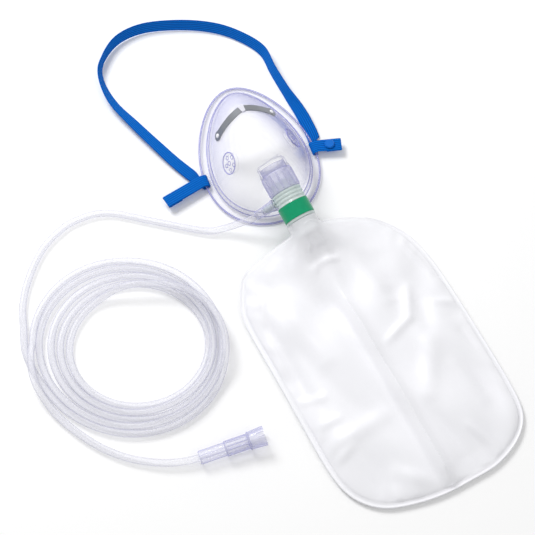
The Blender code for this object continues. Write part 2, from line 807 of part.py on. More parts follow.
def nipple_profile():
    """Half section of the barbed gas inlet, from its tip to inside the connector's wall."""
    root = CONNECTOR_RADIUS - CONNECTOR_WALL / 2
    tip = CONNECTOR_RADIUS + NIPPLE_LENGTH
    barb = NIPPLE_RADIUS + NIPPLE_BARB_RISE
    return [
        (0.0, tip),
        (NIPPLE_RADIUS - 0.0003, tip),
        (barb, tip - 0.0018),
        (NIPPLE_RADIUS, tip - 0.0018),
        (barb, tip - 0.0050),
        (NIPPLE_RADIUS, tip - 0.0050),
        (NIPPLE_RADIUS, root),
        (0.0, root),
    ]


VALVE_TOP = BAND_START + BAND_LENGTH / 2


def build_connector(material):
    """Turned body with its gas inlet and the spoked valve seat."""
    body = turned("bag_connector", connector_profile(), PORT, material, closed=True, steps=36)
    join(body, turned("inlet_nipple", nipple_profile(), INLET, steps=20))
    reach = CONNECTOR_BORE_RADIUS + CONNECTOR_WALL / 2
    for index in range(VALVE_SPOKES // 2):
        angle = math.pi * index / (VALVE_SPOKES // 2)
        spoke = block(
            f"valve_spoke_{index}",
            (2 * reach, VALVE_SPOKE_WIDTH, VALVE_SEAT_THICKNESS),
            (0.0, 0.0, VALVE_TOP + VALVE_SEAT_THICKNESS / 2),
            PORT,
            Matrix.Rotation(angle, 4, "Z"),
        )
        join(body, spoke)
    hub_top = VALVE_TOP + VALVE_SEAT_THICKNESS + 0.0004
    hub = [
        (0.0, hub_top),
        (VALVE_HUB_RADIUS, hub_top),
        (VALVE_HUB_RADIUS, VALVE_TOP + 0.0001),
        (VALVE_PIN_RADIUS, VALVE_TOP + 0.0001),
        (VALVE_PIN_RADIUS, VALVE_TOP - 0.0026),
        (0.0, VALVE_TOP - 0.0026),
    ]
    join(body, turned("valve_hub", hub, PORT, steps=20))
    gas_bore = cylinder("gas_bore", NIPPLE_BORE_RADIUS, 0.004, CONNECTOR_RADIUS + NIPPLE_LENGTH + 0.001, INLET)
    cut(body, gas_bore)
    return body


def build_valve_flap(material):
    """Silicone disc that lies on the spokes and is held by the hub's pin."""
    outer = CONNECTOR_BORE_RADIUS - VALVE_FLAP_MARGIN
    hole = VALVE_PIN_RADIUS + BORE_GAP
    top = VALVE_TOP - SEAT_GAP
    profile = [
        (outer, top),
        (outer, top - VALVE_FLAP_THICKNESS),
        (hole, top - VALVE_FLAP_THICKNESS),
        (hole, top),
    ]
    return turned("valve_flap", profile, PORT, material, closed=True, steps=32)


def build_band(material):
    """The green band in its groove round the connector."""
    inner = CONNECTOR_RADIUS - BAND_THICKNESS + BORE_GAP
    outer = inner + BAND_THICKNESS
    profile = [
        (outer, LIP_START - SEAT_GAP),
        (outer, BAND_START + SEAT_GAP),
        (inner, BAND_START + SEAT_GAP),
        (inner, LIP_START - SEAT_GAP),
    ]
    return turned("label_band", profile, PORT, material, closed=True, steps=36)


def build_sleeve(material):
    """Cuff of the supply tube, pushed over the inlet nipple up to the connector."""
    start = CONNECTOR_RADIUS + 0.0012
    end = start + SLEEVE_LENGTH
    bore = NIPPLE_RADIUS + NIPPLE_BARB_RISE + BORE_GAP
    floor = CONNECTOR_RADIUS + NIPPLE_LENGTH + 0.0010
    middle = (start + end) / 2
    thin = SLEEVE_RADIUS - SLEEVE_STEP
    profile = [
        (0.0, end),
        (thin - 0.0004, end),
        (thin, end - 0.0004),
        (thin, middle),
        (SLEEVE_RADIUS, middle - 0.0006),
        (SLEEVE_RADIUS, start + SLEEVE_FLANGE_LENGTH),
        (SLEEVE_RADIUS + SLEEVE_FLANGE_RISE, start + SLEEVE_FLANGE_LENGTH),
        (SLEEVE_RADIUS + SLEEVE_FLANGE_RISE, start),
        (bore, start),
        (bore, floor),
        (0.0, floor),
    ]
    made = turned("inlet_sleeve", profile, INLET, material, steps=28)
    return made, world_of(INLET) @ Vector((0.0, 0.0, end))


# Nose clip


def peg_place(side):
    """Frame of a clip peg on the dome."""
    across = CLIP_HALF_SPAN * side
    return frame_on(on_dome(across, CLIP_END_Y), dome_normal(across, CLIP_END_Y))


def build_clip(clip_material, peg_material):
    """Bent aluminium strip with an eye at each end, and the pegs that hold it."""
    clip = add_object("nose_clip", strip_mesh("nose_clip", clip_sections(CLIP_HALF_SPAN)), MASK, clip_material)
    thicken(clip, CLIP_THICKNESS)
    low = SEAT_GAP
    high = SEAT_GAP + CLIP_THICKNESS
    for label, side in (("left", -1.0), ("right", 1.0)):
        local = peg_place(side)
        join(clip, cylinder(f"eye_{label}", CLIP_EYE_RADIUS, low, high, MASK, local, None, 24))
        hole = cylinder(f"eye_hole_{label}", PEG_RADIUS + BORE_GAP, low - 0.002, high + 0.002, MASK, local, None, 16)
        cut(clip, hole)
        head_low = high + SEAT_GAP
        profile = [
            (0.0, head_low + PEG_HEAD_HEIGHT),
            (PEG_HEAD_RADIUS * 0.5, head_low + PEG_HEAD_HEIGHT * 0.87),
            (PEG_HEAD_RADIUS * 0.87, head_low + PEG_HEAD_HEIGHT * 0.5),
            (PEG_HEAD_RADIUS, head_low),
            (PEG_RADIUS, head_low),
            (PEG_RADIUS, SEAT_GAP),
            (0.0, SEAT_GAP),
        ]
        turned(f"nose_clip_rivet_{label}", profile, MASK, peg_material, local, steps=20)
    return clip


# Head strap


def rim_world(tau):
    """Frame at the rim's edge, level with the ground, in the root frame."""
    local = MASK.matrix_basis @ rim_matrix(tau)
    local.translation.z = 0.0
    return local


STRAP_BOTTOM = STRAP_GROUND_GAP + STRAP_THICKNESS / 2
STRAP_TOP = (
    RIM_CHEEK_LIFT * math.sin(SLOT_TAU) ** 2 + RIM_BEAD_RADIUS * 2 + SLOT_GAP * 2 + STRAP_THICKNESS / 2
)
# Route of the free loop: place on the ground, height of its middle and lean of its width.
STRAP_LOOP = [
    (-0.0620, 0.0850, 0.0022, 12.0),
    (-0.0730, 0.0925, 0.0042, 45.0),
    (-0.0848, 0.1012, 0.0056, 70.0),
    (-0.1066, 0.1241, 0.0058, 84.0),
    (-0.1248, 0.1438, 0.0058, 90.0),
    (-0.1365, 0.1675, 0.0058, 92.0),
    (-0.1363, 0.1849, 0.0058, 88.0),
    (-0.1249, 0.2051, 0.0058, 78.0),
    (-0.1033, 0.2166, 0.0056, 72.0),
    (-0.0724, 0.2196, 0.0056, 68.0),
    (-0.0442, 0.2157, 0.0056, 68.0),
    (-0.0221, 0.2069, 0.0056, 68.0),
    (-0.0045, 0.1937, 0.0054, 64.0),
    (0.0044, 0.1746, 0.0050, 56.0),
    (0.0155, 0.1542, 0.0044, 44.0),
    (0.0265, 0.1380, 0.0034, 26.0),
    (0.0330, 0.1240, 0.0020, 8.0),
    (0.0365, 0.1130, 0.0011, 0.0),
]
LEFT_TAIL_END = Vector((-0.0785, 0.0522, 0.0068))
RIGHT_TAIL_END = Vector((0.0584, 0.1047, 0.0068))
STUD_POINT = Vector((0.0489, 0.1038, 0.0))


def loop_sections(frame, order):
    """Centres and width directions of the strap where it passes round the slot's outer bar."""
    drop = STRAP_TOP - STRAP_BOTTOM
    turn_x = -SLOT_BAR - SLOT_GAP - STRAP_THICKNESS / 2
    places = [
        (0.0010, STRAP_BOTTOM),
        (-0.0014, STRAP_BOTTOM + drop * 0.03),
        (-0.0027, STRAP_BOTTOM + drop * 0.20),
        (turn_x, STRAP_BOTTOM + drop * 0.50),
        (-0.0027, STRAP_BOTTOM + drop * 0.82),
        (-0.0013, STRAP_TOP - drop * 0.02),
        (0.0012, STRAP_TOP),
    ]
    across = (frame.to_3x3() @ Vector((0.0, 1.0, 0.0))).normalized() * order
    return [(frame @ Vector((x, 0.0, z)), across.copy()) for x, z in places]


def tail_sections(root, end, across_hint):
    """The free end of the strap, which folds back under itself at its tip."""
    along = (end - root).normalized()
    across = across_hint - along * across_hint.dot(along)
    across.normalize()
    under = along.cross(across).normalized()
    if under.z > 0:
        under = -under
    drop = STRAP_THICKNESS + SEAT_GAP
    length = (end - root).length
    sections = []
    for share in (0.35, 0.65):
        sections.append((root + along * length * share, across.copy()))
    tip = end - along * (drop / 2 + STRAP_THICKNESS / 2)
    for step in range(7):
        angle = math.pi * step / 6
        place = tip + along * (drop / 2) * math.sin(angle) + under * (drop / 2) * (1 - math.cos(angle))
        sections.append((place, across.copy()))
    sections.append((tip - along * HEM_LENGTH / 2 + under * drop, across.copy()))
    sections.append((tip - along * HEM_LENGTH + under * drop, across.copy()))
    return sections


def strap_sections():
    """All sections of the band, from the left tail's hem round to the right tail's."""
    loop = []
    for index, (x, y, z, lean) in enumerate(STRAP_LOOP):
        before = STRAP_LOOP[max(index - 1, 0)]
        after = STRAP_LOOP[min(index + 1, len(STRAP_LOOP) - 1)]
        heading = Vector((after[0] - before[0], after[1] - before[1], 0.0)).normalized()
        outward = Vector((-heading.y, heading.x, 0.0))
        angle = math.radians(lean)
        loop.append((Vector((x, y, z)), outward * math.cos(angle) + Vector((0, 0, math.sin(angle)))))
    left = loop_sections(rim_world(-SLOT_TAU), 1.0)
    right = loop_sections(rim_world(SLOT_TAU), 1.0)
    first = loop[0][1]
    left_sign = 1.0 if left[0][1].dot(first) > 0 else -1.0
    right_sign = 1.0 if right[0][1].dot(loop[-1][1]) > 0 else -1.0
    left = [(place, across * left_sign) for place, across in left]
    right = [(place, across * right_sign) for place, across in right]
    left_tail = tail_sections(left[-1][0], LEFT_TAIL_END, left[-1][1])
    right_tail = tail_sections(right[-1][0], RIGHT_TAIL_END, right[-1][1])
    return left_tail[::-1] + left[::-1] + loop + right + right_tail


def even_strap():
    """The band's sections at a close, even spacing, with its half-width vectors."""
    rough = strap_sections()
    joined = []
    last = len(rough) - 1
    for index in range(last):
        span = (rough[index + 1][0] - rough[index][0]).length
        parts = max(1, int(math.ceil(span / STRAP_STEP)))
        picks = [rough[max(index - 1, 0)], rough[index], rough[index + 1], rough[min(index + 2, last)]]
        for part in range(parts):
            share = part / parts
            place = spline_at(*[pick[0] for pick in picks], share)
            if parts == 1:
                place = rough[index][0].copy()
            across = rough[index][1].lerp(rough[index + 1][1], share).normalized()
            joined.append((place, across * STRAP_WIDTH / 2))
    joined.append((rough[-1][0], rough[-1][1].normalized() * STRAP_WIDTH / 2))
    return joined


def build_strap(strap_material, stud_material):
    """The elastic head strap and the stud through its right-hand fold."""
    strap = add_object("head_strap", strip_mesh("head_strap", even_strap()), ROOT, strap_material)
    thicken(strap, STRAP_THICKNESS)
    root = loop_sections(rim_world(SLOT_TAU), 1.0)[-1][0]
    along = (RIGHT_TAIL_END - root).normalized()
    reach = (STUD_POINT - Vector((root.x, root.y, 0.0))).dot(Vector((along.x, along.y, 0.0)))
    centre = root + along * reach
    normal = Vector((0.0, 0.0, 1.0)) - along * along.z
    normal.normalize()
    local = frame_on(centre, normal, along)
    cut(strap, cylinder("stud_hole", STUD_PIN_RADIUS + BORE_GAP, -0.004, 0.004, ROOT, local, None, 20))
    low = STRAP_THICKNESS / 2 + SEAT_GAP
    profile = [
        (0.0, low + STUD_HEIGHT),
        (STUD_RADIUS - STUD_BEVEL, low + STUD_HEIGHT),
        (STUD_RADIUS, low + STUD_HEIGHT - STUD_BEVEL),
        (STUD_RADIUS, low),
        (STUD_PIN_RADIUS, low),
        (STUD_PIN_RADIUS, -STRAP_THICKNESS / 2),
        (0.0, -STRAP_THICKNESS / 2),
    ]
    turned("strap_stud", profile, ROOT, stud_material, local, steps=28)
    return strap


# Reservoir bag

# Outline in the bag's frame, clockwise from the neck: across to the right, and along towards the neck.
BAG_OUTLINE = [
    (0.000, -0.003),
    (0.021, -0.003),
    (0.050, -0.010),
    (0.067, -0.026),
    (0.076, -0.047),
    (0.079, -0.075),
    (0.079, -0.115),
    (0.078, -0.160),
    (0.076, -0.188),
    (0.071, -0.203),
    (0.058, -0.215),
    (0.037, -0.223),
    (0.017, -0.224),
    (-0.007, -0.224),
    (-0.030, -0.220),
    (-0.052, -0.212),
    (-0.067, -0.195),
    (-0.072, -0.171),
    (-0.072, -0.130),
    (-0.072, -0.085),
    (-0.072, -0.042),
    (-0.066, -0.025),
    (-0.056, -0.010),
    (-0.039, -0.006),
    (-0.018, -0.004),
]


def bag_outline():
    """The bag's edge as an even closed ring."""
    corners = [Vector((x, y, 0.0)) for x, y in BAG_OUTLINE]
    fine = []
    count = len(corners)
    for index in range(count):
        picks = [corners[(index + shift) % count] for shift in (-1, 0, 1, 2)]
        for part in range(12):
            fine.append(spline_at(*picks, part / 12))
    lengths = [(fine[(index + 1) % len(fine)] - fine[index]).length for index in range(len(fine))]
    total = sum(lengths)
    ring = []
    travelled = 0.0
    place = 0
    for index in range(BAG_SEGMENTS):
        goal = total * index / BAG_SEGMENTS
        while travelled + lengths[place] < goal:
            travelled += lengths[place]
            place += 1
        share = (goal - travelled) / lengths[place]
        ring.append(fine[place].lerp(fine[(place + 1) % len(fine)], share))
    return ring


def bag_lift(point):
    """How far the bag is lifted near its neck."""
    near = math.hypot(point.x, point.y + 0.004) / BAG_NECK_REACH
    return BAG_NECK_RISE * math.exp(-near * near)


def bag_relief(point):
    """Height of the upper film's lengthwise fold and broad dents over the plain pillow."""
    across = point.x / BAG_FOLD_WIDTH
    valley = (point.x - BAG_VALLEY_X) / BAG_VALLEY_WIDTH
    fold = BAG_FOLD_RISE * math.exp(-across * across) - BAG_VALLEY_DEPTH * math.exp(-valley * valley)
    fade = min(max((-point.y - BAG_NECK_LENGTH / 2) / BAG_FOLD_FADE, 0.0), 1.0)
    side = math.tau * point.x / BAG_DENT_PITCH_X
    along = math.tau * point.y / BAG_DENT_PITCH_Y
    dents = math.sin(side + 1.1 * math.sin(along * 0.6)) * math.sin(along + 0.8 * math.sin(side * 0.6))
    return (fold + BAG_DENT_DEPTH * dents) * fade


def bag_neck(grid):
    """The gathered neck: round on the spigot, then wide and flat where it opens into the bag."""
    radius = BAG_SPIGOT_RADIUS + BAG_SPIGOT_BEAD + BORE_GAP + BAG_NECK_WALL
    rings = []
    for share, wide, high, drop in (
        (0.0, 1.0, 1.0, 0.0),
        (0.10, 1.02, 1.02, 0.0),
        (0.40, 1.30, 1.00, 0.0004),
        (0.65, 1.72, 0.86, 0.0024),
        (0.85, 2.05, 0.62, 0.0045),
        (1.0, 2.20, 0.36, 0.0058),
    ):
        ring = []
        for index in range(28):
            angle = math.tau * (index + 0.5) / 28
            across = radius * wide * math.cos(angle)
            up = radius * high * math.sin(angle) - drop
            ring.append(grid.verts.new((across, up, BAG_START + BAG_NECK_LENGTH * share)))
        rings.append(ring)
    for lower, upper in zip(rings, rings[1:]):
        for index in range(28):
            after = (index + 1) % 28
            grid.faces.new((lower[index], lower[after], upper[after], upper[index]))
    grid.faces.new(rings[0][::-1])
    grid.faces.new(rings[-1])


def build_bag(material):
    """Closed pillow with a welded edge and a neck gathered round the connector's spigot."""
    ring = bag_outline()
    centre = Vector((0.0, -0.110, 0.0))
    edge = [1.0, 1.0 - BAG_SEAM_WIDTH / 0.075]
    shares = edge + [edge[1] - 0.03, 0.82, 0.70, 0.58, 0.46, 0.34, 0.22, 0.11]

    def level(point, share, side):
        seam = BAG_SEAM_HEIGHT + bag_lift(point)
        if share >= edge[1]:
            return seam + side * BAG_SEAM_THICKNESS / 2
        full = (1.0 - share / edge[1]) ** 0.5
        if side > 0:
            relief = bag_relief(point) * min(full * 3.0, 1.0)
            return seam + BAG_SEAM_THICKNESS / 2 + BAG_FILL * full + relief
        return max(seam - BAG_SEAM_THICKNESS / 2 - (BAG_SEAM_HEIGHT + 0.006) * full, 0.0)

    def build(grid):
        sides = []
        for side in (1.0, -1.0):
            rows = []
            for share in shares:
                row = []
                for corner in ring:
                    flat = centre.lerp(corner, share)
                    row.append(grid.verts.new((flat.x, flat.y, level(flat, share, side))))
                rows.append(row)
            middle = grid.verts.new((centre.x, centre.y, level(centre, 0.0, side)))
            sides.append((rows, middle))
        count = len(ring)
        for side, (rows, middle) in enumerate(sides):
            for outer, inner in zip(rows, rows[1:]):
                for index in range(count):
                    after = (index + 1) % count
                    face = (outer[index], inner[index], inner[after], outer[after])
                    grid.faces.new(face if side == 0 else face[::-1])
            for index in range(count):
                after = (index + 1) % count
                face = (rows[-1][index], middle, rows[-1][after])
                grid.faces.new(face if side == 0 else face[::-1])
        top = sides[0][0][0]
        bottom = sides[1][0][0]
        for index in range(count):
            after = (index + 1) % count
            grid.faces.new((bottom[index], top[index], top[after], bottom[after]))
        bmesh.ops.recalc_face_normals(grid, faces=grid.faces)

    turn = Matrix.Rotation(BAG_TURN, 3, "Z").to_quaternion()
    frame = make_frame("bag_frame", ROOT, BAG_PLACE, turn)
    mesh = mesh_from("reservoir_bag", build)
    smooth(mesh, math.radians(60.0))
    bag = add_object("reservoir_bag", mesh, frame, material)
    mouth = BAG_SPIGOT_RADIUS + BAG_SPIGOT_BEAD + BORE_GAP
    lip = CONNECTOR_RADIUS + LIP_RISE + 2 * SLOT_GAP
    clear = cylinder("bag_clearance", lip, BAG_START - 0.030, BAG_START + 0.0001, PORT)
    cut(bag, clear)
    depth = BAG_SPIGOT_LENGTH + 0.0010
    join(bag, add_object("bag_neck", mesh_from("bag_neck", bag_neck), PORT))
    cut(bag, cylinder("bag_mouth", mouth, BAG_START - 0.002, BAG_START + depth, PORT))
    return bag


# Supply tube, coil and end fitting


def build_tube(name, points, material):
    """A run of the supply tube as a bevelled curve through even points of a smooth route."""
    curve = bpy.data.curves.new(name, "CURVE")
    curve.dimensions = "3D"
    curve.bevel_depth = TUBE_RADIUS
    curve.bevel_resolution = 2
    curve.use_fill_caps = True
    even = smooth_route(points, TUBE_STEP)
    line = curve.splines.new("POLY")
    line.points.add(len(even) - 1)
    for corner, point in zip(line.points, even):
        corner.co = (*point, 1.0)
    made = bpy.data.objects.new(name, curve)
    made.parent = ROOT
    PARTS.objects.link(made)
    curve.materials.append(material)
    return made


LEAD_ROUTE = [
    (-0.0212, 0.0316, 0.0115),
    (-0.0330, 0.0305, 0.0058),
    (-0.0480, 0.0296, 0.0032),
    (-0.0851, 0.0373, 0.0029),
    (-0.1240, 0.0451, 0.0029),
    (-0.1500, 0.0385, 0.0029),
    (-0.1680, 0.0220, 0.0029),
    (-0.1778, 0.0009, 0.0029),
    (-0.1835, -0.0190, 0.0029),
    (-0.1846, -0.0372, 0.0029),
    (-0.1800, -0.0480, 0.0035),
]
TAIL_ROUTE = [
    (-0.1740, -0.0960, 0.0035),
    (-0.1620, -0.1110, 0.0030),
    (-0.1454, -0.1270, 0.0029),
    (-0.1246, -0.1420, 0.0029),
    (-0.0978, -0.1512, 0.0032),
    (-0.0754, -0.1538, 0.0040),
    (-0.0600, -0.1540, 0.0048),
]


def build_coil(material):
    """Outer shape of the coiled tube: a turned disc with an eye that sits off its centre."""
    low = TUBE_RADIUS * 0.1
    high = low + COIL_HEIGHT
    inset = COIL_ROUND * 0.3
    disc = [
        (0.0, high),
        (COIL_RADIUS - COIL_ROUND, high),
        (COIL_RADIUS - inset, high - inset),
        (COIL_RADIUS, high - COIL_ROUND),
        (COIL_RADIUS, low + COIL_ROUND),
        (COIL_RADIUS - inset, low + inset),
        (COIL_RADIUS - COIL_ROUND, low),
        (0.0, low),
    ]
    local = Matrix.Translation(COIL_CENTRE)
    coil = turned("tube_coil", disc, ROOT, material, local, steps=48)
    eye = [
        (0.0, high + 0.002),
        (COIL_EYE_RADIUS + COIL_ROUND, high + 0.002),
        (COIL_EYE_RADIUS + inset, high - inset),
        (COIL_EYE_RADIUS, high - COIL_ROUND),
        (COIL_EYE_RADIUS, low + COIL_ROUND),
        (COIL_EYE_RADIUS + inset, low + inset),
        (COIL_EYE_RADIUS + COIL_ROUND, low - 0.002),
        (0.0, low - 0.002),
    ]
    place = Matrix.Translation(COIL_EYE_CENTRE)
    cut(coil, turned("coil_eye", eye, ROOT, None, place, steps=44))
    return coil


def build_fitting(material):
    """Stepped fitting on the tube's far end, with a flared cup, lying on the ground."""
    tilt = math.atan2(
        FITTING_CUP_RADIUS - FITTING_BARREL_RADIUS,
        FITTING_BARREL_LENGTH + FITTING_BODY_LENGTH + FITTING_FLANGE_LENGTH,
    )
    heading = Vector((math.cos(FITTING_TURN), math.sin(FITTING_TURN), math.tan(tilt))).normalized()
    rise = (FITTING_BARREL_RADIUS + STRAP_GROUND_GAP) / math.cos(tilt)
    start = FITTING_START + Vector((0.0, 0.0, rise))
    frame = make_frame("fitting_frame", ROOT, start, heading.to_track_quat("Z", "Y"))
    body_start = FITTING_BARREL_LENGTH
    flange_start = body_start + FITTING_BODY_LENGTH
    cup_start = flange_start + FITTING_FLANGE_LENGTH
    end = cup_start + FITTING_CUP_LENGTH
    socket = FITTING_CUP_RADIUS - FITTING_CUP_WALL
    profile = [
        (FITTING_CUP_RADIUS, end),
        (FITTING_CUP_RADIUS - 0.0008, cup_start + 0.0006),
        (FITTING_FLANGE_RADIUS, cup_start),
        (FITTING_FLANGE_RADIUS, flange_start),
        (FITTING_BODY_RADIUS, flange_start - 0.0004),
        (FITTING_BODY_RADIUS, body_start + 0.0008),
        (FITTING_BARREL_RADIUS, body_start),
        (FITTING_BARREL_RADIUS, 0.0006),
        (FITTING_BARREL_RADIUS - 0.0006, 0.0),
        (FITTING_BORE_RADIUS, 0.0),
        (FITTING_BORE_RADIUS, cup_start - 0.0040),
        (FITTING_BORE_RADIUS + 0.0016, cup_start - 0.0020),
        (socket - 0.0008, cup_start + 0.0006),
        (socket, end),
    ]
    body = turned("supply_connector", profile, frame, material, closed=True, steps=36)
    notch = block(
        "cup_notch",
        (FITTING_NOTCH_WIDTH, 2 * FITTING_CUP_RADIUS, FITTING_CUP_LENGTH / 2 + 0.001),
        (0.0, FITTING_CUP_RADIUS, end - FITTING_CUP_LENGTH / 4 + 0.0005),
        frame,
    )
    cut(body, notch)
    return frame


def build_supply(tube_material, fitting_material, sleeve_end):
    """The tube's two free runs, its coil and its end fitting."""
    coil = build_coil(tube_material)
    frame = build_fitting(fitting_material)
    inlet_heading = (world_of(INLET).to_3x3() @ Vector((0.0, 0.0, 1.0))).normalized()
    start = sleeve_end - ORIGIN_SHIFT
    lead = [start + inlet_heading * SEAT_GAP, start + inlet_heading * 0.006]
    lead += [Vector(point) for point in LEAD_ROUTE]
    build_tube("tube_lead", stop_at_coil(lead), tube_material)
    heading = (frame.matrix_basis.to_3x3() @ Vector((0.0, 0.0, 1.0))).normalized()
    end = Vector(frame.location) - heading * SEAT_GAP
    tail = [Vector(point) for point in TAIL_ROUTE] + [end - heading * 0.004, end]
    build_tube("tube_tail", stop_at_coil(tail[::-1]), tube_material)
    return coil


def stop_at_coil(points):
    """Cuts a route short where its tube would touch the coil's outer face."""
    limit = COIL_RADIUS + TUBE_RADIUS + SEAT_GAP + 0.0004
    kept = []
    for point in points:
        gap = math.hypot(point.x - COIL_CENTRE.x, point.y - COIL_CENTRE.y)
        if gap < limit:
            break
        kept.append(point)
    toward = (kept[-1] - COIL_CENTRE) * Vector((1.0, 1.0, 0.0))
    along = (kept[-1] - kept[-2]).normalized()
    ahead = kept[-1] + along * 0.008 - COIL_CENTRE
    flat = Vector((ahead.x, ahead.y, 0.0)).normalized() * (limit - 0.0006)
    if toward.length > limit:
        kept.append(COIL_CENTRE + flat + Vector((0.0, 0.0, kept[-1].z)))
    return kept


# The whole part

CLEAR = make_material("clear_vinyl", (0.86, 0.87, 0.96), 0.12, alpha=0.35)
VIOLET = make_material("clear_violet_plastic", (0.60, 0.60, 0.86), 0.10, alpha=0.5)
MILKY = make_material("milky_plastic", (0.78, 0.86, 0.84), 0.30)
SILICONE = make_material("valve_silicone", (0.85, 0.85, 0.82), 0.5)
GREEN = make_material("green_band", (0.010, 0.33, 0.145), 0.40)
FILM = make_material("bag_film", (0.86, 0.86, 0.90), 0.20, alpha=0.5)
ALUMINIUM = make_material("clip_aluminium", (0.42, 0.43, 0.46), 0.30, metallic=1.0)
ELASTIC = make_material("blue_elastic", (0.003, 0.115, 0.48), 0.65)
STUD = make_material("blue_stud", (0.003, 0.10, 0.42), 0.35)
TUBE = make_material("clear_tube", (0.78, 0.78, 0.87), 0.15, alpha=0.6)

build_mask_shell(CLEAR)
build_collar(VIOLET)
build_connector(MILKY)
build_valve_flap(SILICONE)
build_band(GREEN)
_, SLEEVE_END = build_sleeve(VIOLET)
build_clip(ALUMINIUM, CLEAR)
build_strap(ELASTIC, STUD)
build_bag(FILM)
build_supply(TUBE, VIOLET, SLEEVE_END)
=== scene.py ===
"""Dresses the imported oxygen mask: its clear mouldings, film bag, elastic strap and supply tube.

Every piece is in metres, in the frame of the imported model, and rides on its one body.
"""

from __future__ import annotations

import json
import logging
import math
from dataclasses import dataclass
from enum import Enum

import bmesh
import bpy
from mathutils import Matrix, Vector, noise
from mathutils.bvhtree import BVHTree

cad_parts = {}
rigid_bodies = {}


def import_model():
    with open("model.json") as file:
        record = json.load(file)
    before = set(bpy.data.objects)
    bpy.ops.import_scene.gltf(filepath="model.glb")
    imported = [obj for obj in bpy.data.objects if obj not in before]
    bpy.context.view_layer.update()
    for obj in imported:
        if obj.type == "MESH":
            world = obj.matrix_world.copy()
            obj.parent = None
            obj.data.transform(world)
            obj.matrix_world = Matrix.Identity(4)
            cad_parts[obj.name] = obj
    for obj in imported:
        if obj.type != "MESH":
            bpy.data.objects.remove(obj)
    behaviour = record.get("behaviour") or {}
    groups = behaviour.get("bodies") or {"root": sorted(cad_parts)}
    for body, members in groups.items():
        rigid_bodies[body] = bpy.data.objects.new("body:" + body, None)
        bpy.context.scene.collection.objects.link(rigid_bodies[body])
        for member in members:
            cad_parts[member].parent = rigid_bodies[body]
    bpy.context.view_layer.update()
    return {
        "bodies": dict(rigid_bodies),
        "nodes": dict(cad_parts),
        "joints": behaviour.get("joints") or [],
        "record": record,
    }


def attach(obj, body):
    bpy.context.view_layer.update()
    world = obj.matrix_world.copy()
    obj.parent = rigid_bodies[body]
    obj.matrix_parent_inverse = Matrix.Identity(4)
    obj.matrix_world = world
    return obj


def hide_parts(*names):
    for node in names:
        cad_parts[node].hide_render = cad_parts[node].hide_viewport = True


LOG = logging.getLogger("oxygen_mask")
BODY = "root"
STRAP_CHART = "strap"
GATHER = "gather"

Colour = tuple[float, float, float]
Place = tuple[float, float, float]
Section = tuple[Vector, Vector]


# Helpers for places, routes and meshes


def placed(*rows: tuple[float, float, float, float]) -> Matrix:
    """Placement matrix from its three upper rows."""
    return Matrix((*rows, (0.0, 0.0, 0.0, 1.0)))


def raised(height: float) -> Matrix:
    """Shift along Z."""
    return Matrix.Translation((0.0, 0.0, height))


def turned_to(heading: Vector) -> Matrix:
    """Turn that brings Z onto a heading."""
    return heading.to_track_quat("Z", "Y").to_matrix().to_4x4()


def ease(value: float) -> float:
    """Smooth step of a value held between 0 and 1."""
    held = min(max(value, 0.0), 1.0)
    return held * held * (3.0 - 2.0 * held)


def bell(value: float, middle: float, width: float) -> float:
    """Bell curve of height 1 round a middle."""
    return math.exp(-(((value - middle) / width) ** 2))


def spline_at(before: Vector, start: Vector, end: Vector, after: Vector, share: float) -> Vector:
    """Point of a Catmull-Rom curve between start and end.

    Args:
        before: Control point before the span.
        start: First end of the span.
        end: Second end of the span.
        after: Control point after the span.
        share: Place along the span, from 0 to 1.

    Returns:
        The point.
    """
    square = share * share
    cube = square * share
    return 0.5 * (
        2 * start
        + (end - before) * share
        + (2 * before - 5 * start + 4 * end - after) * square
        + (3 * start - before - 3 * end + after) * cube
    )


def even_route(points: list[Vector], step: float, fineness: int = 16) -> list[Vector]:
    """Points at an even spacing along a smooth curve through the given ones.

    Args:
        points: Control points of the route.
        step: Wanted spacing in metres.
        fineness: Parts that each span is cut into before it is measured.

    Returns:
        The evenly spaced points.
    """
    last = len(points) - 1
    fine: list[Vector] = []
    for index in range(last):
        start, end = points[index], points[index + 1]
        before = points[index - 1] if index else start * 2 - end
        after = points[index + 2] if index + 2 <= last else end * 2 - start
        fine += [spline_at(before, start, end, after, part / fineness) for part in range(fineness)]
    fine.append(points[-1].copy())
    travelled = [0.0]
    for first, second in zip(fine, fine[1:]):
        travelled.append(travelled[-1] + (second - first).length)
    count = max(int(round(travelled[-1] / step)), 2)
    even: list[Vector] = []
    place = 0
    for index in range(count + 1):
        goal = travelled[-1] * index / count
        while place < len(fine) - 2 and travelled[place + 1] < goal:
            place += 1
        span = max(travelled[place + 1] - travelled[place], 1e-9)
        share = min(max((goal - travelled[place]) / span, 0.0), 1.0)
        even.append(fine[place].lerp(fine[place + 1], share))
    return even


def route_length(points: list[Vector]) -> float:
    """Length of a route in metres."""
    return sum((second - first).length for first, second in zip(points, points[1:]))


def linked(name: str, data: bpy.types.ID) -> bpy.types.Object:
    """Links a new object of that data in the scene."""
    made = bpy.data.objects.new(name, data)
    bpy.context.scene.collection.objects.link(made)
    return made


def evaluated_mesh(source: bpy.types.Object) -> bpy.types.Mesh:
    """Plain mesh of an object with its modifiers applied."""
    bpy.context.view_layer.update()
    return bpy.data.meshes.new_from_object(source.evaluated_get(bpy.context.evaluated_depsgraph_get()))


def discard(helpers: list[bpy.types.Object]) -> None:
    """Deletes helper objects and their meshes."""
    for helper in helpers:
        old = helper.data
        bpy.data.objects.remove(helper)
        bpy.data.meshes.remove(old)


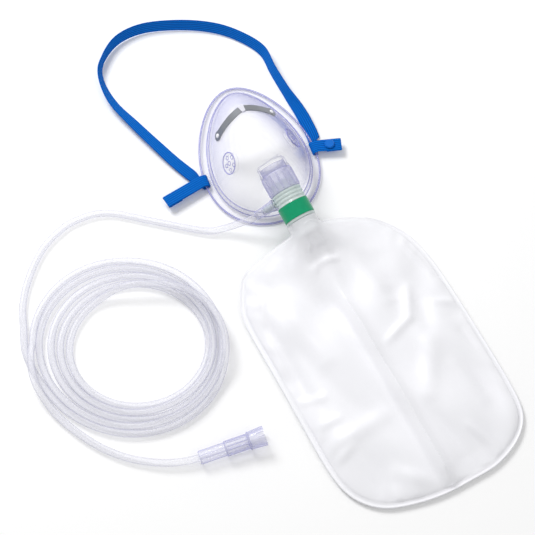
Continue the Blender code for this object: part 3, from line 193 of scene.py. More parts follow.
def skin(grid: bmesh.types.BMesh, rings: list[list[bmesh.types.BMVert]]) -> list[bmesh.types.BMFace]:
    """Skins closed rings of corners and caps the first and the last one.

    Args:
        grid: The mesh in the making.
        rings: Rings with as many corners each.

    Returns:
        The faces between the rings, in order.
    """
    count = len(rings[0])
    sides = []
    for lower, upper in zip(rings, rings[1:]):
        for index in range(count):
            after = (index + 1) % count
            sides.append(grid.faces.new((lower[index], lower[after], upper[after], upper[index])))
    grid.faces.new(rings[0][::-1])
    grid.faces.new(rings[-1])
    return sides


def mesh_of(grid: bmesh.types.BMesh, name: str, sharp: float | None = None) -> bpy.types.Mesh:
    """Ends a mesh in the making.

    Args:
        grid: The mesh in the making, which is freed.
        name: The mesh's name.
        sharp: Angle in degrees from which edges of a smooth mesh stay sharp, or None for a flat one.

    Returns:
        The mesh.
    """
    mesh = bpy.data.meshes.new(name)
    grid.to_mesh(mesh)
    grid.free()
    if sharp is not None:
        mesh.shade_smooth()
        mesh.set_sharp_from_angle(angle=math.radians(sharp))
    return mesh


def add_piece(
    name: str, mesh: bpy.types.Mesh, finish: Finish | None = None, replaced: str | None = None
) -> None:
    """Puts a finished mesh in the scene as a piece that rides on the part's body.

    Args:
        name: The piece's name.
        mesh: Its mesh, with its place in its vertices.
        finish: Its finish, or None where the mesh has one.
        replaced: The CAD node that it stands for.
    """
    piece = linked(name, mesh)
    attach(piece, BODY)
    if finish is not None:
        dress(piece, finish)
    if replaced is not None:
        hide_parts(replaced)
    LOG.info("piece %s: %d faces", name, len(mesh.polygons))


# Where the mouldings stand. Routes and outlines are written in the drawing's frame, and SHIFT brings them
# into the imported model's.

SHIFT = Vector((-0.0229, -0.0176, 0.0))
MASK_PLACE = placed(
    (0.909961, -0.414693, 0.0, -0.0349), (0.414693, 0.909961, 0.0, 0.0803), (0.0, 0.0, 1.0, 0.0)
)
PORT_PLACE = placed(
    (0.868632, 0.132406, 0.477439, -0.017358),
    (0.495459, -0.232132, -0.837040, 0.041809),
    (0.0, 0.963631, -0.267239, 0.042),
)
VENT_PLACES = {
    "vent_rings_near": placed(
        (0.469755, -0.426315, 0.773036, -0.004415),
        (0.214080, 0.904542, 0.368747, 0.075621),
        (-0.856446, -0.007729, 0.516179, 0.033967),
    ),
    "vent_rings_far": placed(
        (0.424090, -0.390317, -0.817191, -0.051369),
        (0.193269, 0.920574, -0.339397, 0.054223),
        (0.884757, -0.014003, 0.465843, 0.033322),
    ),
}


# Finishes


class NodeBench:
    """Adds nodes to one tree, filled and linked as they are made."""

    def __init__(self, tree: bpy.types.NodeTree) -> None:
        """Takes the tree to work on."""
        self.tree = tree

    def fill(self, socket: bpy.types.NodeSocket, value: object) -> None:
        """Links a socket to another one, or sets it to a plain value."""
        if isinstance(value, bpy.types.NodeSocket):
            self.tree.links.new(value, socket)
        else:
            socket.default_value = value

    def add(self, kind: str, *parts: object, **values: object) -> bpy.types.Node:
        """Adds a node.

        Args:
            kind: The node's type name.
            parts: Values or sockets for its inputs, in their order.
            values: Its attributes, or its inputs where a name matches one.

        Returns:
            The node.
        """
        node = self.tree.nodes.new(kind)
        for key, value in values.items():
            label = key.replace("_", " ")
            if label in node.inputs:
                self.fill(node.inputs[label], value)
            else:
                setattr(node, key, value)
        for socket, value in zip(node.inputs, parts):
            self.fill(socket, value)
        return node

    def math(self, operation: str, *parts: object) -> bpy.types.NodeSocket:
        """Result of a shader calculation on values or sockets."""
        return self.add("ShaderNodeMath", *parts, operation=operation).outputs[0]

    def scaled(self, value: bpy.types.NodeSocket, **ends: float) -> bpy.types.NodeSocket:
        """A value brought from one range into another, from 0 to 1 where no end is given."""
        return self.add("ShaderNodeMapRange", Value=value, **ends).outputs["Result"]


class MaterialBench(NodeBench):
    """The nodes of one material with a Principled surface."""

    def __init__(self, name: str) -> None:
        """Starts an empty material of that name."""
        self.material = bpy.data.materials.new(f"finish_{name}")
        self.material.use_nodes = True
        super().__init__(self.material.node_tree)
        self.tree.nodes.clear()

    def grain(
        self, scale: float, detail: float, rough: float = 0.5, stretch: Place = (1.0, 1.0, 1.0)
    ) -> bpy.types.NodeSocket:
        """Noise on Object coordinates.

        Args:
            scale: Noise scale per metre.
            detail: Octaves.
            rough: Roughness of the octaves.
            stretch: Scale along each axis.

        Returns:
            The noise's value.
        """
        place = self.add("ShaderNodeTexCoord").outputs["Object"]
        if stretch != (1.0, 1.0, 1.0):
            place = self.add("ShaderNodeMapping", Vector=place, Scale=stretch).outputs["Vector"]
        noise_node = self.add("ShaderNodeTexNoise", Vector=place, Scale=scale, Detail=detail, Roughness=rough)
        return noise_node.outputs["Fac"]

    def bump(self, height: bpy.types.NodeSocket, strength: float, distance: float) -> bpy.types.NodeSocket:
        """Normal of a surface with a bumpy height, its strength and its depth in metres."""
        node = self.add("ShaderNodeBump", Height=height, Strength=strength, Distance=distance)
        return node.outputs["Normal"]

    def facing(self, normal: bpy.types.NodeSocket) -> bpy.types.NodeSocket:
        """0 where the surface is seen face on, to 1 at its edges."""
        return self.add("ShaderNodeLayerWeight", Blend=0.5, Normal=normal).outputs["Facing"]

    def mix(self, share: bpy.types.NodeSocket, first: Colour, second: Colour) -> bpy.types.NodeSocket:
        """Mix of two colours."""
        node = self.add("ShaderNodeMix", share, data_type="RGBA")
        for number, colour in ((6, first), (7, second)):
            self.fill(node.inputs[number], (*colour, 1.0))
        return node.outputs[2]

    def surface(self, **values: object) -> bpy.types.Material:
        """Ends the material in a Principled surface with those inputs."""
        body = self.add("ShaderNodeBsdfPrincipled", **values)
        self.add("ShaderNodeOutputMaterial", Surface=body.outputs["BSDF"])
        return self.material


@dataclass(frozen=True)
class ClearFinish:
    """A clear moulded plastic: see-through face on, tinted and denser towards its edges."""

    name: str
    tint: Colour
    edge: Colour
    face_cover: float
    edge_cover: float
    falloff: float = 2.2
    roughness: float = 0.08
    ripple_scale: float = 90.0
    ripple_depth: float = 0.0002
    ripple_strength: float = 0.25
    refraction: float = 1.5

    def build(self) -> bpy.types.Material:
        """Makes the material."""
        bench = MaterialBench(self.name)
        normal = bench.bump(bench.grain(self.ripple_scale, 3.0), self.ripple_strength, self.ripple_depth)
        rising = bench.math("POWER", bench.facing(normal), self.falloff)
        return bench.surface(
            Base_Color=bench.mix(rising, self.tint, self.edge),
            Roughness=self.roughness,
            IOR=self.refraction,
            Normal=normal,
            Alpha=bench.scaled(rising, To_Min=self.face_cover, To_Max=self.edge_cover),
        )


@dataclass(frozen=True)
class SolidFinish:
    """An opaque plastic, rubber or metal with a fine grain."""

    name: str
    colour: Colour
    roughness: float
    metallic: float = 0.0
    grain_scale: float = 400.0
    grain_depth: float = 0.00005
    grain_strength: float = 0.4
    stretch: Place = (1.0, 1.0, 1.0)
    gloss: float = 0.5
    darkest: float = 0.88
    lightest: float = 1.12

    def build(self) -> bpy.types.Material:
        """Makes the material."""
        bench = MaterialBench(self.name)
        grain = bench.grain(self.grain_scale, 4.0, stretch=self.stretch)
        dark_grain_and_groove_shade = tuple(part * self.darkest for part in self.colour)
        light = tuple(min(part * self.lightest, 1.0) for part in self.colour)
        return bench.surface(
            Base_Color=bench.mix(grain, dark_grain_and_groove_shade, light),
            Roughness=self.roughness,
            Metallic=self.metallic,
            Specular_IOR_Level=self.gloss,
            Normal=bench.bump(grain, self.grain_strength, self.grain_depth),
        )


@dataclass(frozen=True)
class RibbedElastic:
    """Woven elastic with ribs along it, on the strap's own UV map; its grooves are painted darker as shade.
    """

    name: str = "ribbed_blue_elastic"
    colour: Colour = (0.0, 0.165, 0.66)
    # The darker colour is painted shade in the grooves between the ribs and picks.
    dark_grain_and_groove_shade: Colour = (0.0, 0.060, 0.30)
    ribs: float = 6.0
    picks_per_metre: float = 1400.0
    pick_height: float = 0.35
    strength: float = 0.55
    depth: float = 0.00025
    roughness: float = 0.70
    gloss: float = 0.08

    def build(self) -> bpy.types.Material:
        """Makes the material."""
        bench = MaterialBench(self.name)
        chart = bench.add("ShaderNodeUVMap", uv_map=STRAP_CHART)
        along, across, _ = bench.add("ShaderNodeSeparateXYZ", chart.outputs["UV"]).outputs
        rib = bench.math("SINE", bench.math("MULTIPLY", across, math.tau * self.ribs))
        pick = bench.math("SINE", bench.math("MULTIPLY", along, math.tau * self.picks_per_metre))
        height = bench.math("ADD", rib, bench.math("MULTIPLY", pick, self.pick_height))
        # Low places of the ribs and picks take the darker colour: painted shade in the grooves.
        level = bench.scaled(height, From_Min=-1.2, From_Max=0.8)
        return bench.surface(
            Base_Color=bench.mix(level, self.dark_grain_and_groove_shade, self.colour),
            Roughness=self.roughness,
            Specular_IOR_Level=self.gloss,
            Normal=bench.bump(height, self.strength, self.depth),
        )


@dataclass(frozen=True)
class FilmFinish:
    """Thin film: white over the pillow, clearer at its gathered neck, with soft gloss."""

    name: str = "bag_film"
    colour: Colour = (0.965, 0.965, 1.0)
    face_cover: float = 0.91
    edge_cover: float = 0.98
    neck_cover: float = 0.48
    roughness: float = 0.38
    gloss: float = 0.4

    def build(self) -> bpy.types.Material:
        """Makes the material."""
        bench = MaterialBench(self.name)
        normal = bench.bump(bench.grain(55.0, 2.0, 0.4), 0.30, 0.0005)
        cover = bench.scaled(bench.facing(normal), To_Min=self.face_cover, To_Max=self.edge_cover)
        gather = bench.add("ShaderNodeAttribute", attribute_name=GATHER).outputs["Fac"]
        thinned = bench.scaled(gather, To_Min=1.0, To_Max=self.neck_cover)
        return bench.surface(
            Base_Color=(*self.colour, 1.0),
            Roughness=self.roughness,
            Specular_IOR_Level=self.gloss,
            Normal=normal,
            Alpha=bench.math("MULTIPLY", cover, thinned),
        )


class Finish(Enum):
    """The finishes that the pieces share."""

    VINYL = ClearFinish("clear_vinyl", (0.80, 0.80, 0.95), (0.12, 0.12, 0.46), 0.035, 0.95, 2.9)
    VIOLET = ClearFinish("clear_violet_plastic", (0.76, 0.76, 0.95), (0.25, 0.25, 0.62), 0.32, 0.94, 1.7)
    GLASSY = ClearFinish("glassy_violet", (0.80, 0.80, 0.96), (0.20, 0.20, 0.58), 0.15, 0.95, 1.5)
    RIM = ClearFinish("rolled_rim", (0.40, 0.40, 0.78), (0.16, 0.16, 0.56), 0.42, 0.95, 1.2)
    # A pale strip over the clip's bend that stands for the bend's specular highlight: a painted highlight.
    BEND_HIGHLIGHT = ClearFinish("painted_bend_highlight", (0.92, 0.92, 0.98), (0.62, 0.62, 0.80), 0.72, 0.95, 1.6)
    MILKY = ClearFinish("milky_plastic", (0.78, 0.87, 0.85), (0.50, 0.66, 0.65), 0.62, 0.95, 1.6)
    TUBE = ClearFinish(
        "clear_tube", (0.90, 0.90, 0.97), (0.26, 0.26, 0.46), 0.26, 0.90, 2.2, 0.24, 60.0, 0.000001
    )
    RIVET = SolidFinish("polished_rivet", (0.86, 0.86, 0.90), 0.18, grain_depth=0.00001)
    SILICONE = SolidFinish("valve_silicone", (0.85, 0.85, 0.82), 0.5)
    GREEN = SolidFinish("green_band", (0.0, 0.30, 0.135), 0.30, grain_depth=0.00002, gloss=0.25)
    ALUMINIUM = SolidFinish(
        "clip_aluminium", (0.24, 0.25, 0.27), 0.32, 1.0, 900.0, 0.00003, stretch=(1.0, 6.0, 1.0)
    )
    STUD = SolidFinish("blue_stud", (0.0, 0.135, 0.56), 0.34, grain_depth=0.00002, gloss=0.2)
    ELASTIC = RibbedElastic()
    FILM = FilmFinish()

    def material(self) -> bpy.types.Material:
        """The finish's material, made once."""
        made = bpy.data.materials.get(f"finish_{self.value.name}")
        return made if made is not None else self.value.build()


def dress(target: bpy.types.Object, finish: Finish) -> None:
    """Gives an object one finish."""
    target.data.materials.clear()
    target.data.materials.append(finish.material())


# Pieces made by node trees


class PatternTree(NodeBench):
    """A Geometry Nodes tree with named sizes, run on a plain mesh."""

    def __init__(self, name: str, finish: Finish, **sizes: float) -> None:
        """Starts a tree.

        Args:
            name: The tree's name.
            finish: The finish that it ends in.
            sizes: Its named sizes; a whole number stays one.
        """
        super().__init__(bpy.data.node_groups.new(name, "GeometryNodeTree"))
        self.finish = finish
        self.sizes = {label.replace("_", " "): size for label, size in sizes.items()}
        for way in ("INPUT", "OUTPUT"):
            self.tree.interface.new_socket("Geometry", in_out=way, socket_type="NodeSocketGeometry")
        for label, size in self.sizes.items():
            kind = "NodeSocketInt" if isinstance(size, int) else "NodeSocketFloat"
            self.tree.interface.new_socket(label, in_out="INPUT", socket_type=kind)
        self.given = self.add("NodeGroupInput").outputs

    def circle(self, radius: str, points: int) -> bpy.types.NodeSocket:
        """A round curve whose radius is a named size."""
        made = self.add("GeometryNodeCurvePrimitiveCircle", Resolution=points, Radius=self.given[radius])
        return made.outputs["Curve"]

    def bead(self, path: bpy.types.NodeSocket, radius: str, sides: int = 10) -> bpy.types.NodeSocket:
        """A round bead along a curve, with a named size as its radius."""
        made = self.add("GeometryNodeCurveToMesh", Curve=path, Profile_Curve=self.circle(radius, sides))
        return made.outputs["Mesh"]

    def mesh(
        self, made: bpy.types.NodeSocket, place: Matrix, start: bpy.types.Mesh | None = None
    ) -> bpy.types.Mesh:
        """Ends the tree, with instances made real, smooth and dressed, and runs it.

        Args:
            made: The geometry that the tree has made.
            place: Where the result goes.
            start: The mesh that the tree starts from, or None for an empty one.

        Returns:
            The result as a plain mesh.
        """
        real = self.add("GeometryNodeRealizeInstances", made).outputs[0]
        soft = self.add("GeometryNodeSetShadeSmooth", real).outputs[0]
        dressed = self.add("GeometryNodeSetMaterial", soft, Material=self.finish.material()).outputs[0]
        self.add("NodeGroupOutput", dressed)
        name = self.tree.name
        carrier = linked(name, bpy.data.meshes.new(f"{name}_start") if start is None else start)
        step = carrier.modifiers.new("pattern", "NODES")
        step.node_group = self.tree
        for socket in self.tree.interface.items_tree:
            if socket.in_out == "INPUT" and socket.name in self.sizes:
                step[socket.identifier] = self.sizes[socket.name]
        result = evaluated_mesh(carrier)
        discard([carrier])
        result.transform(place)
        return result


@dataclass
class RibRing:
    """Straight rounded ribs that stand round a fitting."""

    name: str
    place: Matrix
    count: int
    ring_radius: float
    rib_radius: float
    length: float
    sides: int = 10
    sharp: float = math.radians(50.0)

    def build(self) -> None:
        """Makes the ribs."""
        sizes = {"Ring_Radius": self.ring_radius, "Rib_Radius": self.rib_radius, "Rib_Length": self.length}
        tree = PatternTree(self.name, Finish.VIOLET, Count=self.count, **sizes)
        given = tree.given
        ring = tree.add("GeometryNodeMeshCircle", Vertices=given["Count"], Radius=given["Ring Radius"])
        rib = tree.add(
            "GeometryNodeMeshCylinder",
            Vertices=self.sides,
            Radius=given["Rib Radius"],
            Depth=given["Rib Length"],
        )
        stand = tree.add(
            "GeometryNodeInstanceOnPoints", Points=ring.outputs["Mesh"], Instance=rib.outputs["Mesh"]
        )
        mesh = tree.mesh(stand.outputs["Instances"], self.place)
        mesh.set_sharp_from_angle(angle=self.sharp)
        add_piece(self.name, mesh)


@dataclass
class RingLine:
    """A rounded bead round a fitting."""

    name: str
    place: Matrix
    radius: float
    bead: float = 0.0005
    points: int = 64

    def build(self) -> None:
        """Makes the bead."""
        tree = PatternTree(self.name, Finish.VIOLET, Radius=self.radius, Bead=self.bead)
        mesh = tree.mesh(tree.bead(tree.circle("Radius", self.points), "Bead"), self.place)
        add_piece(self.name, mesh)


@dataclass
class RimPiping:
    """The rolled edge of the mask's rim and the lines of its flange."""

    half_length: float = 0.0640
    half_width: float = 0.0452
    taper: float = 0.22
    twist: float = math.radians(-5.0)
    shift: float = 0.0021
    cheek_lift: float = 0.0022
    points: int = 240
    # Name, inset from the rim's outline, height and radius of each line.
    lines: tuple[tuple[str, float, float, float], ...] = (
        ("rim_piping", 0.0006, 0.0012, 0.00075),
        ("flange_line", 0.0064, 0.0021, 0.00045),
        ("step_line", 0.0082, 0.0060, 0.00040),
    )

    def ring(self, inset: float, height: float) -> bpy.types.Mesh:
        """The rim's outline as a closed line of edges.

        Args:
            inset: Distance inwards from the outline.
            height: Height above the ground at the chin and the nose.

        Returns:
            The line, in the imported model's frame.
        """
        corners = []
        turn = Matrix.Rotation(self.twist, 2)
        for index in range(self.points):
            tau = math.tau * index / self.points
            narrow = 1.0 - self.taper * math.cos(tau)
            across = self.half_width * (math.cos(tau) * narrow + self.taper * math.sin(tau) ** 2)
            slope = Vector((self.half_length * math.sin(tau), across)).normalized()
            flat = Vector((self.half_width * math.sin(tau) * narrow, self.half_length * math.cos(tau)))
            flat = turn @ (flat - slope * inset)
            rise = height + self.cheek_lift * math.sin(tau) ** 2
            corners.append(MASK_PLACE @ Vector((flat.x + self.shift, flat.y, rise)))
        mesh = bpy.data.meshes.new("rim_outline")
        mesh.from_pydata(corners, [(index, (index + 1) % self.points) for index in range(self.points)], [])
        return mesh

    def build(self) -> None:
        """Makes the lines."""
        for name, inset, height, radius in self.lines:
            tree = PatternTree(name, Finish.RIM, Radius=radius)
            curve = tree.add("GeometryNodeMeshToCurve", Mesh=tree.given["Geometry"])
            made = tree.bead(curve.outputs["Curve"], "Radius")
            add_piece(name, tree.mesh(made, Matrix(), self.ring(inset, height)))


@dataclass
class VentRings:
    """The fine edges of a vent rosette: its ring, its boss and its round holes."""

    name: str
    place: Matrix
    ring_radius: float = 0.0083
    ring_height: float = 0.0010
    ring_bead: float = 0.00042
    boss_radius: float = 0.0017
    boss_height: float = 0.0008
    hole_radius: float = 0.0015
    hole_bead: float = 0.00027
    hole_circle: float = 0.00525
    holes: int = 5
    hole_turn: float = math.radians(93.7)
    points: int = 48
    sides: int = 8

    def build(self) -> None:
        """Makes the rings."""
        tree = PatternTree(
            self.name,
            Finish.RIM,
            Holes=self.holes,
            Ring_Radius=self.ring_radius,
            Boss_Radius=self.boss_radius,
            Hole_Radius=self.hole_radius,
            Hole_Circle=self.hole_circle,
            Ring_Bead=self.ring_bead,
            Hole_Bead=self.hole_bead,
        )
        group = tree.add("GeometryNodeJoinGeometry")
        for radius, bead, height in (
            ("Ring Radius", "Ring Bead", self.ring_height),
            ("Boss Radius", "Hole Bead", self.boss_height),
        ):
            loop = tree.bead(tree.circle(radius, self.points), bead, self.sides)
            lifted = tree.add("GeometryNodeTransform", loop, Translation=(0.0, 0.0, height))
            tree.fill(group.inputs[0], lifted.outputs["Geometry"])
        given = tree.given
        circle = tree.add("GeometryNodeMeshCircle", Vertices=given["Holes"], Radius=given["Hole Circle"])
        turned = tree.add(
            "GeometryNodeTransform", circle.outputs["Mesh"], Rotation=(0.0, 0.0, self.hole_turn)
        )
        hole = tree.bead(tree.circle("Hole Radius", self.points), "Hole Bead", self.sides)
        stand = tree.add("GeometryNodeInstanceOnPoints", Points=turned.outputs["Geometry"], Instance=hole)
        tree.fill(group.inputs[0], stand.outputs["Instances"])
        add_piece(self.name, tree.mesh(group.outputs["Geometry"], self.place))


@dataclass
class NoseClip:
    """Bent aluminium strip with round eyes, a pale strip over its bend as a painted highlight, and its two
    rivets.
    """

    half_span: float = 0.0212
    end_y: float = 0.0124
    bend_y: float = 0.0176
    bend_radius: float = 0.0012
    half_width: float = 0.0034
    eye_radius: float = 0.0041
    tip_width: float = 0.0004
    thickness: float = 0.0006
    clearance: float = 0.0003
    lean: float = math.radians(12.0)
    steps: int = 90
    rounds: int = 5
    # The pale strip laid over the bend as a painted highlight: its reach, margin and thickness.
    highlight_reach: float = 0.0017
    highlight_margin: float = 0.0005
    highlight_thickness: float = 0.0015
    rivet_radius: float = 0.0018
    rivet_dome: float = 0.62

    def stations(self, dome: BVHTree) -> list[tuple[float, Vector, Vector, Vector]]:
        """Middle line of the strip on the dome.

        Args:
            dome: The mask's surface.

        Returns:
            For each station, its distance from the bend, place, width direction and normal.
        """
        spots = []
        last = self.steps
        reach = self.half_span + self.eye_radius * 0.85
        fall = (self.bend_y - self.end_y) / self.half_span
        for index in range(last + 1):
            across = reach * (2.0 * index / last - 1.0)
            y = self.bend_y - fall * (math.hypot(across, self.bend_radius) - self.bend_radius)
            above = MASK_PLACE @ Vector((across, y, 0.09))
            spots.append(dome.ray_cast(above, Vector((0.0, 0.0, -1.0)))[:2])
        for _ in range(self.rounds):
            trios = [
                (spots[max(index - 1, 0)], spots[index], spots[min(index + 1, last)])
                for index in range(last + 1)
            ]
            spots = [
                ((before[0] + here[0] + after[0]) / 3.0, (before[1] + here[1] + after[1]).normalized())
                for before, here, after in trios
            ]
        found = []
        lift = self.half_width * math.sin(self.lean) + self.thickness / 2 + self.clearance
        middle = last // 2
        for index, (spot, normal) in enumerate(spots):
            ahead = (spots[min(index + 1, last)][0] - spots[max(index - 1, 0)][0]).normalized()
            turns = [Matrix.Rotation(sign * self.lean, 3, ahead) @ normal for sign in (1.0, -1.0)]
            level = max(turns, key=lambda way: way.z)
            level = (level - ahead * level.dot(ahead)).normalized()
            run = [place for place, _ in spots[min(index, middle) : max(index, middle) + 1]]
            span = math.copysign(route_length(run), index - middle)
            found.append((span, spot + normal * lift, level.cross(ahead), level))
        return found

    def strip(
        self, name: str, stations: list[tuple[Vector, Vector, Vector, float]], thickness: float
    ) -> bpy.types.Mesh:
        """A flat strip through its stations.

        Args:
            name: The mesh's name.
            stations: Place, width direction, normal and half width of each.
            thickness: The strip's thickness.

        Returns:
            The closed mesh.
        """
        grid = bmesh.new()
        section = ((-1.0, -1.0), (1.0, -1.0), (1.0, 1.0), (-1.0, 1.0))
        rings = [
            [grid.verts.new(spot + side * half * x + normal * thickness / 2 * z) for x, z in section]
            for spot, side, normal, half in stations
        ]
        skin(grid, rings)
        bmesh.ops.recalc_face_normals(grid, faces=grid.faces)
        return mesh_of(grid, name, 40.0)

    def rivet(self, name: str, spot: Vector, normal: Vector) -> bpy.types.Mesh:
        """A domed rivet head.

        Args:
            name: The mesh's name.
            spot: Where it sits on the strip.
            normal: The way that it points.

        Returns:
            The closed mesh.
        """
        grid = bmesh.new()
        bmesh.ops.create_uvsphere(grid, u_segments=24, v_segments=12, radius=self.rivet_radius)
        mesh = mesh_of(grid, name)
        mesh.transform(Matrix.Diagonal((1.0, 1.0, self.rivet_dome, 1.0)))
        mesh.transform(Matrix.Translation(spot) @ turned_to(normal))
        mesh.shade_smooth()
        return mesh

    def build(self, shell: bpy.types.Object) -> None:
        """Makes the clip on the mask's dome.

        Args:
            shell: The mask's own moulding.
        """
        corners = [corner.co.copy() for corner in shell.data.vertices]
        dome = BVHTree.FromPolygons(corners, [tuple(face.vertices) for face in shell.data.polygons])
        found = self.stations(dome)
        eyes = (found[0][0] + self.eye_radius, found[-1][0] - self.eye_radius)
        strip = []
        for span, spot, side, normal in found:
            eye = eyes[0] if span < 0 else eyes[1]
            bulge = math.sqrt(max(self.eye_radius**2 - (span - eye) ** 2, 0.0))
            least = self.tip_width if abs(span) > abs(eye) else self.half_width
            strip.append((spot, side, normal, max(least, bulge)))
        mesh = self.strip("clip_strip", strip, self.thickness)
        add_piece("clip_strip", mesh, Finish.ALUMINIUM, "nose_clip")
        # A pale strip across the bend: a painted highlight of the bent facet.
        half = self.half_width + self.highlight_margin
        held = [(*station[1:], half) for station in found if abs(station[0]) < self.highlight_reach]
        bend_highlight = self.strip("clip_bend_highlight", held, self.highlight_thickness)
        add_piece("clip_bend_highlight", bend_highlight, Finish.BEND_HIGHLIGHT)
        for name, eye in zip(("nose_clip_rivet_left", "nose_clip_rivet_right"), eyes):
            _, spot, _, normal = min(found, key=lambda station: abs(station[0] - eye))
            head = self.rivet(name, spot + normal * self.thickness / 2, normal)
            add_piece(f"{name}_head", head, Finish.RIVET, name)


# The supply tube


@dataclass
class SupplyTube:
    """The one tube, from its cuff at the mask through its coil to its end fitting."""

    radius: float = 0.0026
    step: float = 0.0022
    roundness: int = 7
    # Where the tube leaves its cuff and which way, and how far it stays straight.
    start: Place = (-0.0076, 0.0342, 0.0201)
    heading: Place = (-0.7929, -0.2793, -0.5416)
    straight: tuple[float, float] = (0.0003, 0.006)
    lead: tuple[Place, ...] = (
        (-0.0212, 0.0316, 0.0115),
        (-0.0330, 0.0305, 0.0058),
        (-0.0480, 0.0296, 0.0032),
        (-0.0851, 0.0373, 0.0029),
        (-0.1240, 0.0451, 0.0029),
        (-0.1480, 0.0385, 0.0029),
        (-0.1605, 0.0286, 0.0029),
        (-0.1700, 0.0165, 0.0029),
        (-0.1768, 0.0010, 0.0029),
        (-0.1815, -0.0176, 0.0029),
        (-0.1828, -0.0348, 0.0029),
    )
    # Radius and angle round the coil's middle, and height, before and after the coil.
    middle: tuple[float, float] = (-0.1025, -0.0625)
    lead_in: tuple[Place, ...] = (
        (0.0790, 172.0, 0.0029),
        (0.0762, 184.0, 0.0029),
        (0.0728, 195.0, 0.0029),
        (0.0698, 206.0, 0.0029),
        (0.0681, 217.0, 0.0029),
    )
    tail_out: tuple[Place, ...] = (
        (0.0704, 180.0, 0.0046),
        (0.0709, 184.5, 0.0066),
        (0.0716, 190.0, 0.0082),
        (0.0730, 202.0, 0.0084),
        (0.0735, 212.0, 0.0076),
        (0.0738, 222.0, 0.0046),
        (0.0747, 231.5, 0.0030),
    )
    tail: tuple[Place, ...] = (
        (-0.1341, -0.1329, 0.0029),
        (-0.1172, -0.1433, 0.0029),
        (-0.0990, -0.1504, 0.0031),
        (-0.0819, -0.1536, 0.0038),
        (-0.0680, -0.1543, 0.0045),
        (-0.0575, -0.1532, 0.0050),
        (-0.0484, -0.1512, 0.0054),
    )
    # The coil: a turn's rank is 0 at the outside and 4.1 at the inside. Each side has its place at rank 0 and
    # its shift for each rank.
    outer_rank: float = -0.15
    inner_rank: float = 4.1
    left_side: tuple[float, float] = (-0.1734, 0.00675)
    right_side: tuple[float, float] = (-0.0315, -0.0033)
    top_side: tuple[float, float] = (0.0063, -0.0063)
    bottom_side: tuple[float, float] = (-0.1319, 0.0052)
    bunching: float = 0.0020
    bunched: tuple[float, float] = (1.1, 0.5)
    # Start and length, in turns, of the run to the inside and of the hump over the turns on the way.
    crossing: tuple[float, float] = (0.47, 0.29)
    crossed: float = 0.78
    hump_up: tuple[float, float] = (0.41, 0.08)
    hump_end: tuple[float, float] = (0.88, 0.12)
    ovalness: float = 0.0032
    oval_turn: float = math.radians(40.0)
    floor_height: float = 0.0029
    stack_rise: float = 0.0049
    stacked_turns: tuple[int, ...] = (2, 4)
    cross_rise: float = 0.0101
    first_sweep: float = 0.14
    points_per_turn: int = 30
    coil_points: int = 146
    # The end fitting stands on the tube's end, turned on the ground and tilted up a little.
    fitting_place: Place = (-0.0481, -0.1511, 0.0054)
    fitting_turn: float = math.radians(18.7)
    fitting_tilt: float = math.atan2(0.0023, 0.0379)

    @property
    def fitting(self) -> Matrix:
        """Frame of the end fitting: Z along it, from the tube's end."""
        x, y, z = self.fitting_place
        level = (math.cos(self.fitting_turn), math.sin(self.fitting_turn))
        heading = Vector((*level, math.tan(self.fitting_tilt)))
        start = Vector((x, y, z / math.cos(self.fitting_tilt))) + SHIFT
        return Matrix.Translation(start) @ turned_to(heading)

    def around(self, radius: float, degrees: float, height: float) -> Vector:
        """Place at a radius and an angle round the coil's middle."""
        angle = math.radians(degrees)
        x, y = self.middle
        return Vector((x + radius * math.cos(angle), y + radius * math.sin(angle), height))

    def coil_point(self, sweep: float) -> Vector:
        """Point of the coil, which goes in at its outside, crosses to its inside and winds outwards.

        Args:
            sweep: Turns done since the tube passed the coil's left side for the first time.

        Returns:
            The tube's centre there.
        """
        angle = math.pi + math.tau * sweep
        if sweep < self.crossed:
            start, length = self.crossing
            rank = self.outer_rank + (self.inner_rank - self.outer_rank) * ease((sweep - start) / length)
        else:
            rank = self.inner_rank - max(sweep - 1.0, 0.0)
        left, right, top, bottom = (
            place + shift * rank
            for place, shift in (self.left_side, self.right_side, self.top_side, self.bottom_side)
        )
        left -= self.bunching * bell(rank, *self.bunched)
        lean = self.ovalness * math.cos(2.0 * (angle + self.oval_turn)) * (1.0 - rank / self.inner_rank)
        x = (left + right) / 2 + ((right - left) / 2 + lean) * math.cos(angle)
        y = (top + bottom) / 2 + ((top - bottom) / 2 + lean) * math.sin(angle)
        z = self.floor_height
        if int(sweep) in self.stacked_turns:
            z += self.stack_rise * ease((math.cos(angle) + 0.25) / 0.9)
        (start, rise), (end, fall) = self.hump_up, self.hump_end
        z += self.cross_rise * ease((sweep - start) / rise) * ease((end - sweep) / fall)
        return Vector((x, y, z))

    def route(self) -> list[Vector]:
        """The tube's centre line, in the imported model's frame."""
        points = [Vector(self.start) + Vector(self.heading) * reach for reach in self.straight]
        points += [Vector(point) for point in self.lead]
        points += [self.around(*place) for place in self.lead_in]
        points += [
            self.coil_point(self.first_sweep + index / self.points_per_turn)
            for index in range(self.coil_points)
        ]
        points += [self.around(*place) for place in self.tail_out]
        points += [Vector(point) for point in self.tail]
        return [point + SHIFT for point in even_route(points, self.step)]

    def build(self) -> None:
        points = self.route()
        curve = bpy.data.curves.new("supply_tube", "CURVE")
        curve.dimensions = "3D"
        curve.bevel_depth = self.radius
        curve.bevel_resolution = self.roundness
        curve.use_fill_caps = True
        line = curve.splines.new("POLY")
        line.points.add(len(points) - 1)
        for corner, point in zip(line.points, points):
            corner.co = (*point, 1.0)
        line.use_smooth = True
        tube = linked("supply_tube", curve)
        curve.materials.append(Finish.TUBE.material())
        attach(tube, BODY)
        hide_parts("tube_lead", "tube_coil", "tube_tail")
        LOG.info("supply tube: %.3f m long", route_length(points))


# The head strap


